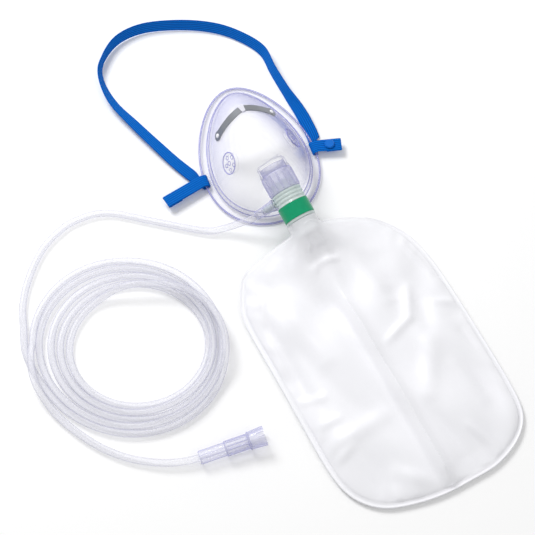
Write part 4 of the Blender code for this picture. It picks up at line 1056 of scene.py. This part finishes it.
@dataclass(frozen=True)
class StrapEnd:
    """One slot of the mask's rim with the folded tail that comes out of it."""

    slot: tuple[float, float]
    outward: tuple[float, float]
    tail: Place
    bar: float = 0.0024
    gap: float = 0.0004

    def sections(self, low: float, high: float, thickness: float) -> list[Section]:
        """Centres and width directions round the slot's bar.

        Args:
            low: Height of the band's middle under the flange.
            high: Its height on top of the flange.
            thickness: The band's thickness.

        Returns:
            Sections from below the flange to on top of it.
        """
        drop = high - low
        places = (
            (0.0010, low),
            (-0.0014, low + drop * 0.03),
            (-0.0027, low + drop * 0.20),
            (-self.bar - self.gap - thickness / 2, low + drop * 0.50),
            (-0.0027, low + drop * 0.82),
            (-0.0013, high - drop * 0.02),
            (0.0012, high),
        )
        middle = Vector((*self.slot, 0.0))
        out = Vector((*self.outward, 0.0))
        across = Vector((-out.y, out.x, 0.0))
        return [(middle + out * x + Vector((0.0, 0.0, z)), across.copy()) for x, z in places]


@dataclass
class HeadStrap:
    """The elastic band, from its left tail round the back of the head to its right tail."""

    width: float = 0.0102
    thickness: float = 0.0011
    seat: float = 0.0003
    hem: float = 0.0110
    step: float = 0.0020
    low: float = 0.00095
    high: float = 0.005868
    sharp: float = 60.0
    left: StrapEnd = StrapEnd((-0.04955, 0.0717), (-0.9452, -0.3266), (-0.0785, 0.0522, 0.0068))
    right: StrapEnd = StrapEnd((0.03762, 0.10256), (0.9401, 0.3410), (0.0584, 0.1047, 0.0068))
    # Middle of the band, and how far it stands up, in degrees: 0 flat on the ground, 90 on its edge.
    loop: tuple[tuple[float, float, float, float], ...] = (
        (-0.0617, 0.0806, 0.0018, 8.0),
        (-0.0734, 0.0910, 0.0022, 14.0),
        (-0.0849, 0.1024, 0.0028, 20.0),
        (-0.1066, 0.1248, 0.0034, 29.0),
        (-0.1248, 0.1450, 0.0046, 45.0),
        (-0.1350, 0.1670, 0.0056, 70.0),
        (-0.1345, 0.1840, 0.0058, 88.0),
        (-0.1236, 0.2035, 0.0058, 78.0),
        (-0.1030, 0.2152, 0.0056, 72.0),
        (-0.0724, 0.2186, 0.0056, 70.0),
        (-0.0442, 0.2157, 0.0056, 68.0),
        (-0.0221, 0.2069, 0.0056, 68.0),
        (-0.0045, 0.1937, 0.0054, 64.0),
        (0.0044, 0.1746, 0.0055, 66.0),
        (0.0150, 0.1542, 0.0053, 62.0),
        (0.0252, 0.1376, 0.0038, 36.0),
        (0.0322, 0.1238, 0.0022, 12.0),
        (0.0365, 0.1130, 0.0011, 0.0),
    )
    # One face of the band's section with its rounded edges, as shares of half the width and thickness.
    face: tuple[tuple[float, float], ...] = (
        (-1.0, 0.0),
        (-0.975, 0.7),
        (-0.90, 1.0),
        (-0.45, 0.92),
        (0.0, 0.90),
        (0.45, 0.92),
        (0.90, 1.0),
        (0.975, 0.7),
        (1.0, 0.0),
    )

    def tail(self, root: Section, end: Vector) -> list[Section]:
        """The free end, which folds back under itself at its tip.

        Args:
            root: The section that it starts from.
            end: Where its tip lies.

        Returns:
            The sections after the root, round the fold to the end of the hem.
        """
        place, hint = root
        along = (end - place).normalized()
        across = (hint - along * hint.dot(along)).normalized()
        under = along.cross(across).normalized()
        under = -under if under.z > 0 else under
        drop = self.thickness + self.seat
        tip = end - along * (drop / 2 + self.thickness / 2)
        spots = [place.lerp(end, share) for share in (0.35, 0.65)]
        for step in range(7):
            angle = math.pi * step / 6
            bend = along * (drop / 2) * math.sin(angle) + under * (drop / 2) * (1 - math.cos(angle))
            spots.append(tip + bend)
        spots += [tip - along * back + under * drop for back in (self.hem / 2, self.hem)]
        return [(spot, across.copy()) for spot in spots]

    def rough_sections(self) -> list[Section]:
        """The sections that the band's course is given by, from tail to tail."""
        loop = []
        for index, (x, y, z, lean) in enumerate(self.loop):
            before = self.loop[max(index - 1, 0)]
            after = self.loop[min(index + 1, len(self.loop) - 1)]
            heading = Vector((after[0] - before[0], after[1] - before[1], 0.0)).normalized()
            outward = Vector((-heading.y, heading.x, 0.0))
            angle = math.radians(lean)
            loop.append((Vector((x, y, z)), outward * math.cos(angle) + Vector((0, 0, math.sin(angle)))))
        ends = []
        for end, near in ((self.left, loop[0]), (self.right, loop[-1])):
            round_bar = end.sections(self.low, self.high, self.thickness)
            sign = 1.0 if round_bar[0][1].dot(near[1]) > 0 else -1.0
            round_bar = [(place, across * sign) for place, across in round_bar]
            ends.append(round_bar + self.tail(round_bar[-1], Vector(end.tail)))
        return ends[0][::-1] + loop + ends[1]

    def sections(self) -> list[Section]:
        """All sections of the band, close and even along its free loop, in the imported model's frame."""
        rough = self.rough_sections()
        spans = [(after[0] - before[0]).length for before, after in zip(rough, rough[1:])]
        fine = []
        last = len(rough) - 1
        for index in range(last):
            parts = max(1, int(math.ceil(spans[index] / self.step)))
            near = [spans[index], spans[max(index - 1, 0)], spans[min(index + 1, last - 1)]]
            straight = max(near) > 3.0 * min(near)
            picks = [rough[min(max(index + shift, 0), last)][0] for shift in (-1, 0, 1, 2)]
            for part in range(parts):
                share = part / parts
                place = picks[1].lerp(picks[2], share) if straight else spline_at(*picks, share)
                across = rough[index][1].lerp(rough[index + 1][1], share).normalized()
                fine.append((place, across))
        fine.append(rough[-1])
        return [(place + SHIFT, across) for place, across in fine]

    def build(self) -> None:
        """Makes the band with rounded edges and its own UV map."""
        profile = self.face + tuple((-x, -z) for x, z in self.face[1:-1])
        sections = self.sections()
        grid = bmesh.new()
        chart = grid.loops.layers.uv.new(STRAP_CHART)
        rings, lengths, travelled = [], [], 0.0
        for index, (place, across) in enumerate(sections):
            before = sections[max(index - 1, 0)][0]
            after = sections[min(index + 1, len(sections) - 1)][0]
            travelled += (place - before).length
            lengths.append(travelled)
            up = (after - before).normalized().cross(across).normalized()
            side, rise = across * self.width / 2, up * self.thickness / 2
            rings.append([grid.verts.new(place + side * x + rise * z) for x, z in profile])
        count = len(profile)
        for number, face in enumerate(skin(grid, rings)):
            ring, side = divmod(number, count)
            after = (side + 1) % count
            places = ((ring, side), (ring, after), (ring + 1, after), (ring + 1, side))
            for loop, (row, corner) in zip(face.loops, places):
                loop[chart].uv = (lengths[row], profile[corner][0] / 2 + 0.5)
        bmesh.ops.recalc_face_normals(grid, faces=grid.faces)
        band = mesh_of(grid, "head_band", self.sharp)
        add_piece("head_band", band, Finish.ELASTIC, "head_strap")


# The reservoir bag


@dataclass(frozen=True)
class Fold:
    """One crease of the film: a straight ridge, or a groove where its rise is negative."""

    start: tuple[float, float]
    end: tuple[float, float]
    rise: float
    width: float

    def height(self, x: float, y: float) -> float:
        """Height that the fold adds at a place in the bag's frame."""
        reach_x, reach_y = self.end[0] - self.start[0], self.end[1] - self.start[1]
        span = reach_x * reach_x + reach_y * reach_y
        share = ((x - self.start[0]) * reach_x + (y - self.start[1]) * reach_y) / span
        held = min(max(share, 0.0), 1.0)
        gap_x = x - self.start[0] - reach_x * held
        gap_y = y - self.start[1] - reach_y * held
        away = (gap_x * gap_x + gap_y * gap_y) / (self.width * self.width)
        if away > 6.0:
            return 0.0
        return self.rise * math.exp(-away) * (0.55 + 0.45 * math.sin(math.pi * held))


FILM_FOLDS = (
    Fold((-0.039, -0.046), (-0.037, -0.100), 0.0030, 0.0075),
    Fold((-0.058, -0.044), (-0.058, -0.120), -0.0022, 0.0045),
    Fold((0.020, -0.044), (0.027, -0.080), 0.0028, 0.0070),
    Fold((0.036, -0.070), (0.034, -0.084), -0.0026, 0.0080),
    Fold((0.047, -0.078), (0.034, -0.101), 0.0026, 0.0042),
    Fold((0.034, -0.101), (0.012, -0.109), 0.0018, 0.0036),
    Fold((0.051, -0.092), (0.044, -0.112), -0.0024, 0.0060),
    Fold((0.037, -0.126), (0.019, -0.156), 0.0026, 0.0070),
    Fold((0.063, -0.044), (0.071, -0.074), 0.0018, 0.0030),
    Fold((0.024, -0.008), (0.030, -0.036), 0.0020, 0.0026),
    Fold((0.030, -0.036), (0.046, -0.041), 0.0014, 0.0024),
    Fold((-0.005, -0.008), (-0.020, -0.030), 0.0020, 0.0026),
    Fold((-0.020, -0.030), (-0.012, -0.039), 0.0016, 0.0024),
    Fold((-0.012, -0.039), (-0.005, -0.034), 0.0016, 0.0022),
    Fold((-0.005, -0.034), (0.014, -0.037), 0.0016, 0.0022),
    Fold((-0.061, -0.160), (-0.018, -0.156), 0.0022, 0.0060),
    Fold((-0.066, -0.118), (-0.050, -0.124), 0.0014, 0.0028),
    Fold((-0.066, -0.141), (-0.048, -0.143), 0.0014, 0.0030),
    Fold((-0.066, -0.170), (-0.050, -0.166), 0.0014, 0.0030),
    Fold((0.046, -0.148), (0.052, -0.176), 0.0024, 0.0065),
    Fold((0.066, -0.126), (0.074, -0.152), -0.0018, 0.0040),
    Fold((0.060, -0.096), (0.075, -0.102), 0.0015, 0.0028),
    Fold((0.031, -0.190), (0.043, -0.214), 0.0015, 0.0032),
    Fold((-0.030, -0.196), (-0.012, -0.214), 0.0018, 0.0055),
    Fold((0.016, -0.168), (0.018, -0.206), -0.0016, 0.0060),
    Fold((-0.050, -0.030), (-0.060, -0.052), 0.0014, 0.0030),
)


@dataclass
class ReservoirBag:
    """Clear film bag with a welded edge, a long centre fold and creases from its neck."""

    turn: float = math.radians(28.0)
    place: Place = (0.0260, 0.0246, 0.0)
    centre: Place = (0.0, -0.110, 0.0)
    segments: int = 288
    rows: int = 54
    row_crowding: float = 1.35
    inner_rows: tuple[float, ...] = (0.984, 0.990, 0.995, 0.999)
    outline_parts: int = 14
    outline_rounds: int = 24
    sharp: float = 70.0
    # The weld, the pillow and its lengthwise fold with the valley beside it, as on the part's own solid.
    seam_width: float = 0.0036
    seam_height: float = 0.0030
    seam_thickness: float = 0.0012
    weld_thickness: float = 0.0008
    weld_ridge: float = 0.0011
    weld_share: float = 0.45
    fill: float = 0.0150
    sag: float = 0.006
    neck_rise: float = 0.0200
    neck_reach: float = 0.0430
    fold_rise: float = 0.0032
    fold_width: float = 0.0060
    valley_depth: float = 0.0018
    valley_x: float = -0.0115
    valley_width: float = 0.0075
    fold_fade: float = 0.0500
    dent_depth: float = 0.0024
    dent_pitch_x: float = 0.0760
    dent_pitch_y: float = 0.0920
    # The finer creases: a fan from the neck, the sharp ridge on the centre fold with its groove, and swells,
    # each with its scales across and along the bag, its seed and its height.
    fan_rise: float = 0.0011
    fan_back: float = 0.012
    fan_place: tuple[float, float] = (0.040, 0.026)
    ridge_rise: float = 0.0026
    ridge_x: float = 0.0002
    ridge_width: float = 0.0022
    groove_depth: float = 0.0015
    groove: tuple[float, float] = (-0.0065, 0.0032)
    ridge_start: float = 0.040
    swells: tuple[tuple[float, float, float, float], ...] = (
        (46.0, 15.0, 3.1, 0.0026),
        (88.0, 30.0, 8.7, 0.0011),
    )
    swell_lean: float = 0.20
    crease_strength: float = 1.15
    pucker_rise: float = 0.0007
    pucker_reach: float = 0.007
    pucker_start: float = 0.002
    # The neck, gathered round the connector's spigot along the port's axis.
    spigot_radius: float = 0.0103
    neck_radius: float = 0.0117
    neck_length: float = 0.0340
    mouth_depth: float = 0.0120
    lip_radius: float = 0.0127
    lip_depth: float = 0.030
    neck_start: float = 0.0418
    neck_rows: int = 44
    neck_segments: int = 144
    pleat_depth: float = 0.042
    pleat_start: float = 0.30
    tie_depth: float = 0.02
    tie: tuple[float, float] = (0.16, 0.06)
    # How the upper film drapes over the neck: its clearance as shares, its slopes, and gaps in metres.
    drape_wide: float = 1.04
    drape_tall: float = 1.05
    drape_crown: float = 1.03
    drape_slope: float = 1.5
    drape_fall: float = 0.34
    drape_gap: float = 0.0003
    drape_blend: float = 0.0075
    drape_sink: float = 0.0055
    least_gap: float = 0.0004
    gather_fade: float = 0.022
    gather_end: float = 0.06
    soft_rounds: int = 14
    soft_reach: float = 0.055
    soft_middle: float = 0.80
    soft_start: float = 0.004
    soft_end: float = 1.5
    soft_lowest: float = 0.006
    # Place along the neck, width and height as shares of its radius, and drop in metres.
    neck_sections: tuple[tuple[float, float, float, float], ...] = (
        (0.0, 1.0, 1.0, 0.0),
        (0.10, 1.02, 1.02, 0.0),
        (0.40, 1.30, 1.00, 0.0004),
        (0.65, 1.72, 0.86, 0.0024),
        (0.85, 2.05, 0.62, 0.0045),
        (1.0, 2.20, 0.36, 0.0058),
    )
    outline: tuple[tuple[float, float], ...] = (
        (0.000, -0.003),
        (0.021, -0.003),
        (0.050, -0.010),
        (0.067, -0.026),
        (0.076, -0.047),
        (0.079, -0.075),
        (0.079, -0.115),
        (0.078, -0.160),
        (0.076, -0.188),
        (0.071, -0.203),
        (0.058, -0.215),
        (0.037, -0.223),
        (0.017, -0.224),
        (-0.007, -0.224),
        (-0.030, -0.220),
        (-0.052, -0.212),
        (-0.067, -0.195),
        (-0.072, -0.171),
        (-0.072, -0.130),
        (-0.072, -0.085),
        (-0.072, -0.042),
        (-0.066, -0.025),
        (-0.056, -0.010),
        (-0.039, -0.006),
        (-0.018, -0.004),
    )

    @property
    def frame(self) -> Matrix:
        """The bag's frame: Y against its length, from its mouth."""
        return Matrix.Translation(Vector(self.place) + SHIFT) @ Matrix.Rotation(self.turn, 4, "Z")

    def edge(self) -> list[Vector]:
        """The bag's edge as an even closed ring."""
        corners = [Vector((x, y, 0.0)) for x, y in self.outline]
        count = len(corners)
        fine: list[Vector] = []
        for index in range(count):
            picks = [corners[(index + shift) % count] for shift in (-1, 0, 1, 2)]
            fine += [spline_at(*picks, part / self.outline_parts) for part in range(self.outline_parts)]
        for _ in range(self.outline_rounds):
            nexts = fine[1:] + fine[:1]
            fine = [(fine[index - 1] + here * 2.0 + nexts[index]) / 4.0 for index, here in enumerate(fine)]
        fine.append(fine[0].copy())
        lengths = [(second - first).length for first, second in zip(fine, fine[1:])]
        total = sum(lengths)
        ring: list[Vector] = []
        place = 0
        travelled = 0.0
        for index in range(self.segments):
            goal = total * index / self.segments
            while travelled + lengths[place] < goal:
                travelled += lengths[place]
                place += 1
            ring.append(fine[place].lerp(fine[place + 1], (goal - travelled) / lengths[place]))
        return ring

    def lift(self, point: Vector) -> float:
        """How far the bag is lifted near its neck."""
        near = math.hypot(point.x, point.y + 0.004) / self.neck_reach
        return self.neck_rise * math.exp(-near * near)

    def relief(self, point: Vector) -> float:
        """Height of the lengthwise fold and the broad dents, as on the part's own solid.

        Args:
            point: Place in the bag's frame.

        Returns:
            Height in metres.
        """
        fold = self.fold_rise * bell(point.x, 0.0, self.fold_width)
        fold -= self.valley_depth * bell(point.x, self.valley_x, self.valley_width)
        fade = min(max((-point.y - self.neck_length / 2) / self.fold_fade, 0.0), 1.0)
        side = math.tau * point.x / self.dent_pitch_x
        along = math.tau * point.y / self.dent_pitch_y
        dents = math.sin(side + 1.1 * math.sin(along * 0.6)) * math.sin(along + 0.8 * math.sin(side * 0.6))
        return (fold + self.dent_depth * dents) * fade

    def crease(self, point: Vector) -> float:
        """Height of the film's finer creases and swells.

        Args:
            point: Place in the bag's frame.

        Returns:
            Height in metres, above or below the part's own pillow.
        """
        along = -point.y
        angle = math.atan2(point.x, max(along + self.fan_back, 0.001))
        reach = math.hypot(point.x, along + self.fan_back)
        fan = self.fan_rise * math.sin(angle * 13.0 + 1.3 * math.sin(angle * 4.0))
        fan *= bell(reach, *self.fan_place)
        line = self.ridge_rise * math.exp(-abs(point.x - self.ridge_x) / self.ridge_width)
        line -= self.groove_depth * bell(point.x, *self.groove)
        line *= ease((along - self.ridge_start) / self.ridge_start)
        lean = point.x + self.swell_lean * point.y
        swell = sum(
            height * noise.noise(Vector((lean * across, point.y * down, seed)))
            for across, down, seed, height in self.swells
        )
        folds = sum(fold.height(point.x, point.y) for fold in FILM_FOLDS)
        return fan + line + swell + self.crease_strength * folds

    def puckers(self, index: int, inset: float) -> float:
        """Height of the small puckers that run in from the weld.

        Args:
            index: Place along the edge.
            inset: Distance from the weld.

        Returns:
            Height in metres.
        """
        place = math.tau * index / self.segments
        wave = math.sin(place * 41.0 + 2.0 * math.sin(place * 7.0))
        wave *= 0.5 + 0.5 * math.sin(place * 9.0 + 1.0)
        fade = math.exp(-inset / self.pucker_reach) * ease(inset / self.pucker_start)
        return self.pucker_rise * wave * fade

    def neck_section(self, share: float) -> Place:
        """The neck's section at a place along it.

        Args:
            share: Place along the neck, 0 at the connector to 1 inside the bag.

        Returns:
            Width and height as shares of the neck's radius, and drop in metres.
        """
        for low, high in zip(self.neck_sections, self.neck_sections[1:]):
            if share <= high[0]:
                part = (share - low[0]) / (high[0] - low[0])
                return tuple(low[index] + (high[index] - low[index]) * part for index in (1, 2, 3))
        return self.neck_sections[-1][1:]

    def drape(self, flat: Vector, film: float) -> float:
        """Height of the upper film, drawn up over the neck's sides and back down behind it.

        Args:
            flat: Place in the bag's frame.
            film: Height of the film there without the neck.

        Returns:
            Height in metres.
        """
        frame = self.frame
        ground = frame.translation + frame.to_3x3() @ Vector((flat.x, flat.y, 0.0))
        heading = PORT_PLACE.col[2].xyz
        base = PORT_PLACE.translation + heading * self.neck_start
        course = Vector((heading.x, heading.y, 0.0))
        along = (ground - base).dot(course) / course.length_squared / self.neck_length
        aside = abs((ground - base).dot(Vector((-heading.y, heading.x, 0.0)).normalized()))
        share = min(max(along, 0.0), 1.0)
        wide, tall, drop = self.neck_section(share)
        wide, tall = wide * self.neck_radius * self.drape_wide, tall * self.neck_radius * self.drape_tall
        middle = base.z + heading.z * self.neck_length * share - drop
        if aside < wide:
            top = middle + tall * math.sqrt(1.0 - (aside / wide) ** 2) * self.drape_crown
        else:
            top = middle - self.drape_slope * (aside - wide)
        top -= max(along - 1.0, 0.0) * self.neck_length * self.drape_fall
        sunk = ease((film - (middle - tall) - self.least_gap) / self.drape_sink)
        near = max(self.drape_blend - abs(film - top), 0.0) / self.drape_blend
        lifted = max(film, top + self.drape_gap) + near * near * self.drape_blend / 4.0
        return film + (lifted - film) * sunk

    def level(self, flat: Vector, depth: float, side: float, extra: float) -> float:
        """Height of one film at a place in the bag's frame.

        Args:
            flat: Place in the bag's frame.
            depth: 0 at the weld to 1 at the bag's middle.
            side: 1 for the upper film, -1 for the lower one.
            extra: Height of the puckers there.

        Returns:
            Height in metres.
        """
        seam = self.seam_height + self.lift(flat)
        rise = math.sqrt(depth)
        if side > 0:
            crease = (self.relief(flat) + self.crease(flat)) * min(rise * 3.0, 1.0)
            height = seam + self.weld_thickness / 2 + self.fill * rise + crease + extra
            return self.drape(flat, max(height, seam + self.least_gap))
        return max(seam - self.weld_thickness / 2 - (self.seam_height + self.sag) * rise, 0.0)

    def pillow(self) -> bpy.types.Mesh:
        """The two films with their weld, as one closed skin."""
        ring = self.edge()
        centre = Vector(self.centre)
        inward = []
        for index in range(len(ring)):
            heading = (ring[(index + 1) % len(ring)] - ring[index - 1]).normalized()
            inward.append(Vector((heading.y, -heading.x, 0.0)))
        if inward[0].dot(centre - ring[0]) < 0:
            inward = [-way for way in inward]
        # Inset from the edge and share of the seam's thickness: a ridge at the edge and one inside the weld.
        weld = (
            (0.0, 0.30),
            (0.0003, 1.00),
            (0.0008, 1.00),
            (self.weld_ridge, self.weld_share),
            (self.seam_width - 0.0010, self.weld_share),
            (self.seam_width - 0.0006, 1.00),
            (self.seam_width, 1.00),
        )
        depths = [(step / self.rows) ** self.row_crowding for step in range(1, self.rows)]
        depths += self.inner_rows
        starts = [corner + way * self.seam_width for corner, way in zip(ring, inward)]
        grid = bmesh.new()
        films = []
        for side in (1.0, -1.0):
            rows = []
            for offset, share in weld:
                row = []
                for corner, way in zip(ring, inward):
                    flat = corner + way * offset
                    height = self.seam_height + self.lift(flat) + side * share * self.seam_thickness / 2
                    row.append(grid.verts.new((flat.x, flat.y, height)))
                rows.append(row)
            for depth in depths:
                row = []
                for index, start in enumerate(starts):
                    flat = start.lerp(centre, depth)
                    extra = self.puckers(index, (start - flat).length)
                    row.append(grid.verts.new((flat.x, flat.y, self.level(flat, depth, side, extra))))
                rows.append(row)
            films.append(rows)
        for side, rows in enumerate(films):
            for outer, inner in zip(rows, rows[1:]):
                for index in range(len(ring)):
                    after = (index + 1) % len(ring)
                    face = (outer[index], inner[index], inner[after], outer[after])
                    grid.faces.new(face[::-1] if side else face)
            grid.faces.new(rows[-1] if side else rows[-1][::-1])
        upper, lower = films[0][0], films[1][0]
        for index in range(len(ring)):
            after = (index + 1) % len(ring)
            grid.faces.new((lower[index], upper[index], upper[after], lower[after]))
        bmesh.ops.recalc_face_normals(grid, faces=grid.faces)
        mesh = mesh_of(grid, "bag_film")
        mesh.transform(self.frame)
        return mesh

    def neck(self) -> bpy.types.Mesh:
        """The gathered neck, round on the spigot and wide and flat where it opens into the bag."""
        grid = bmesh.new()
        rings = []
        for row in range(self.neck_rows + 1):
            share = row / self.neck_rows
            wide, tall, drop = self.neck_section(share)
            drawn_in = self.tie_depth * bell(share, *self.tie)
            ring = []
            for index in range(self.neck_segments):
                angle = math.tau * (index + 0.5) / self.neck_segments
                pleat = math.sin(angle * 11.0 + 1.7 * math.sin(angle * 3.0))
                pleat += 0.5 * math.sin(angle * 23.0 + 2.0)
                swell = 1.0 + self.pleat_depth * pleat * ease(share / self.pleat_start) - drawn_in
                across = self.neck_radius * wide * math.cos(angle) * swell
                up = self.neck_radius * tall * math.sin(angle) * swell - drop
                ring.append(grid.verts.new((across, up, self.neck_start + self.neck_length * share)))
            rings.append(ring)
        skin(grid, rings)
        mesh = mesh_of(grid, "bag_neck")
        mesh.transform(PORT_PLACE)
        return mesh

    def bore(self, name: str, radius: float, low: float, high: float) -> bpy.types.Object:
        """A round cutter along the port's axis.

        Args:
            name: The cutter's name.
            radius: Its radius.
            low: Its start, from the neck's start.
            high: Its end, from the neck's start.

        Returns:
            The cutter, linked in the scene.
        """
        grid = bmesh.new()
        bmesh.ops.create_cone(
            grid, cap_ends=True, segments=96, radius1=radius, radius2=radius, depth=high - low
        )
        mesh = mesh_of(grid, name)
        mesh.transform(raised(self.neck_start + (low + high) / 2))
        mesh.transform(PORT_PLACE)
        return linked(name, mesh)

    def soften(self, grid: bmesh.types.BMesh) -> None:
        """Relaxes the film where the neck runs into the pillow."""
        middle = PORT_PLACE @ Vector((0.0, 0.0, self.neck_start + self.neck_length * self.soft_middle))
        back = PORT_PLACE.inverted()
        near = []
        for corner in grid.verts:
            local = back @ corner.co
            inside = self.soft_start < local.z - self.neck_start < self.neck_length * self.soft_end
            clear = local.xy.length > self.spigot_radius + self.least_gap and corner.co.z > self.soft_lowest
            if inside and clear and (corner.co - middle).length < self.soft_reach:
                near.append(corner)
        for _ in range(self.soft_rounds):
            bmesh.ops.smooth_vert(
                grid, verts=near, factor=0.5, use_axis_x=True, use_axis_y=True, use_axis_z=True
            )

    def joined(self) -> bpy.types.Mesh:
        """Pillow and neck as one film, cut clear of the connector's lip and spigot."""
        pillow = linked("bag_pillow", self.pillow())
        helpers = (
            (self.bore("bag_clearance", self.lip_radius, -self.lip_depth, 0.0001), "DIFFERENCE"),
            (linked("bag_neck", self.neck()), "UNION"),
            (self.bore("bag_mouth", self.spigot_radius, -0.002, self.mouth_depth), "DIFFERENCE"),
        )
        for helper, operation in helpers:
            step = pillow.modifiers.new(helper.name, "BOOLEAN")
            step.operation = operation
            step.solver = "EXACT"
            step.object = helper
        made = evaluated_mesh(pillow)
        discard([pillow, *[helper for helper, _ in helpers]])
        grid = bmesh.new()
        grid.from_mesh(made)
        bpy.data.meshes.remove(made)
        bmesh.ops.remove_doubles(grid, verts=grid.verts, dist=0.00001)
        self.soften(grid)
        bmesh.ops.recalc_face_normals(grid, faces=grid.faces)
        return mesh_of(grid, "bag_film", self.sharp)

    def build(self) -> None:
        """Makes the bag, and marks how closely its film is gathered."""
        mesh = self.joined()
        gather = mesh.attributes.new(GATHER, "FLOAT", "POINT")
        back = PORT_PLACE.inverted()
        for corner in mesh.vertices:
            along = (back @ corner.co).z - self.neck_start
            share = bell(max(along, 0.0), 0.0, self.gather_fade) if along < self.gather_end else 0.0
            gather.data[corner.index].value = share
        add_piece("bag_film", mesh, Finish.FILM, "reservoir_bag")


# The studio


@dataclass(frozen=True)
class Studio:
    """White floor, soft lights and the photograph's camera."""

    elevation: float = math.radians(65.0)
    distance: float = 0.988
    lens: float = 87.5
    sensor: float = 36.0
    nearest: float = 0.01
    floor_size: float = 4.0
    floor_height: float = -0.0002
    floor_white: float = 0.975
    # The world's strength as a light, and where it is seen, mirrored or looked through.
    light_strength: float = 0.54
    seen_strength: float = 1.0
    # Name, place, size in metres and power in watts of each area light, which points at the origin.
    lamps: tuple[tuple[str, Place, float, float], ...] = (
        ("key_light", (-0.60, 0.62, 1.0), 0.50, 11.0),
        ("fill_light", (0.8, -0.5, 1.2), 0.9, 2.8),
    )

    def floor(self) -> None:
        """Adds the white floor."""
        grid = bmesh.new()
        bmesh.ops.create_grid(grid, x_segments=1, y_segments=1, size=self.floor_size)
        floor = linked("studio_floor", mesh_of(grid, "studio_floor"))
        floor.location = (0.0, 0.0, self.floor_height)
        bench = MaterialBench("studio_white")
        white = self.floor_white
        matt = bench.add("ShaderNodeBsdfDiffuse", Color=(white, white, white, 1.0))
        bench.add("ShaderNodeOutputMaterial", Surface=matt.outputs["BSDF"])
        floor.data.materials.append(bench.material)

    def world(self) -> None:
        """Lights the scene from all round."""
        world = bpy.data.worlds.new("studio_world")
        world.use_nodes = True
        bench = NodeBench(world.node_tree)
        ray = bench.add("ShaderNodeLightPath").outputs
        seen = bench.math("MAXIMUM", ray["Is Camera Ray"], ray["Is Glossy Ray"])
        shown = bench.math("MAXIMUM", seen, ray["Is Transmission Ray"])
        sky = world.node_tree.nodes["Background"].inputs
        bench.fill(sky["Color"], (1.0, 1.0, 1.0, 1.0))
        strength = bench.scaled(shown, To_Min=self.light_strength, To_Max=self.seen_strength)
        bench.fill(sky["Strength"], strength)
        bpy.context.scene.world = world

    def lights(self) -> None:
        """Adds the area lights."""
        for name, place, size, power in self.lamps:
            lamp = bpy.data.lights.new(name, "AREA")
            lamp.size = size
            lamp.energy = power
            carrier = linked(name, lamp)
            carrier.location = place
            carrier.rotation_euler = (-Vector(place)).to_track_quat("-Z", "Y").to_euler()

    def camera(self) -> None:
        """Puts the camera where the photograph was taken from."""
        shot = bpy.data.cameras.new("photo_camera")
        shot.lens = self.lens
        shot.sensor_width = self.sensor
        shot.clip_start = self.nearest
        camera = linked("photo_camera", shot)
        back = Vector((0.0, -math.cos(self.elevation), math.sin(self.elevation))) * self.distance
        camera.location = back + SHIFT
        camera.rotation_euler = (math.pi / 2 - self.elevation, 0.0, 0.0)
        bpy.context.scene.camera = camera
        bpy.context.scene.view_settings.view_transform = "Standard"

    def build(self) -> None:
        """Adds the floor, the lights and the camera."""
        self.floor()
        self.world()
        self.lights()
        self.camera()


# All of it


def dress_mouldings(nodes: dict[str, bpy.types.Object]) -> None:
    """Gives the CAD nodes that show their finishes.

    Args:
        nodes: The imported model's nodes by name.
    """
    finishes = {
        "mask_shell": Finish.VINYL,
        "port_collar": Finish.VIOLET,
        "bag_connector": Finish.MILKY,
        "valve_flap": Finish.SILICONE,
        "label_band": Finish.GREEN,
        "strap_stud": Finish.STUD,
        "inlet_sleeve": Finish.GLASSY,
        "supply_connector": Finish.GLASSY,
    }
    for name, finish in finishes.items():
        if name in nodes:
            dress(nodes[name], finish)
            LOG.info("node %s: %s", name, finish.name)


def main() -> None:
    """Builds every piece in order."""
    logging.basicConfig(level=logging.INFO, format="%(message)s")
    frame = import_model()
    Studio().build()
    tube = SupplyTube()
    tube.build()
    dress_mouldings(frame["nodes"])
    RimPiping().build()
    for name, place in VENT_PLACES.items():
        VentRings(name, place).build()
    NoseClip().build(frame["nodes"]["mask_shell"])
    RibRing("collar_flutes", PORT_PLACE @ raised(0.0090), 14, 0.01225, 0.00065, 0.0126).build()
    RibRing("fitting_ribs", tube.fitting @ raised(0.0282), 6, 0.0054, 0.0006, 0.0150).build()
    for name, height, radius in (("fitting_step", 0.0198, 0.0053), ("fitting_flange", 0.0372, 0.0064)):
        RingLine(name, tube.fitting @ raised(height), radius).build()
    HeadStrap().build()
    ReservoirBag().build()


if __name__ == "__main__":
    main()
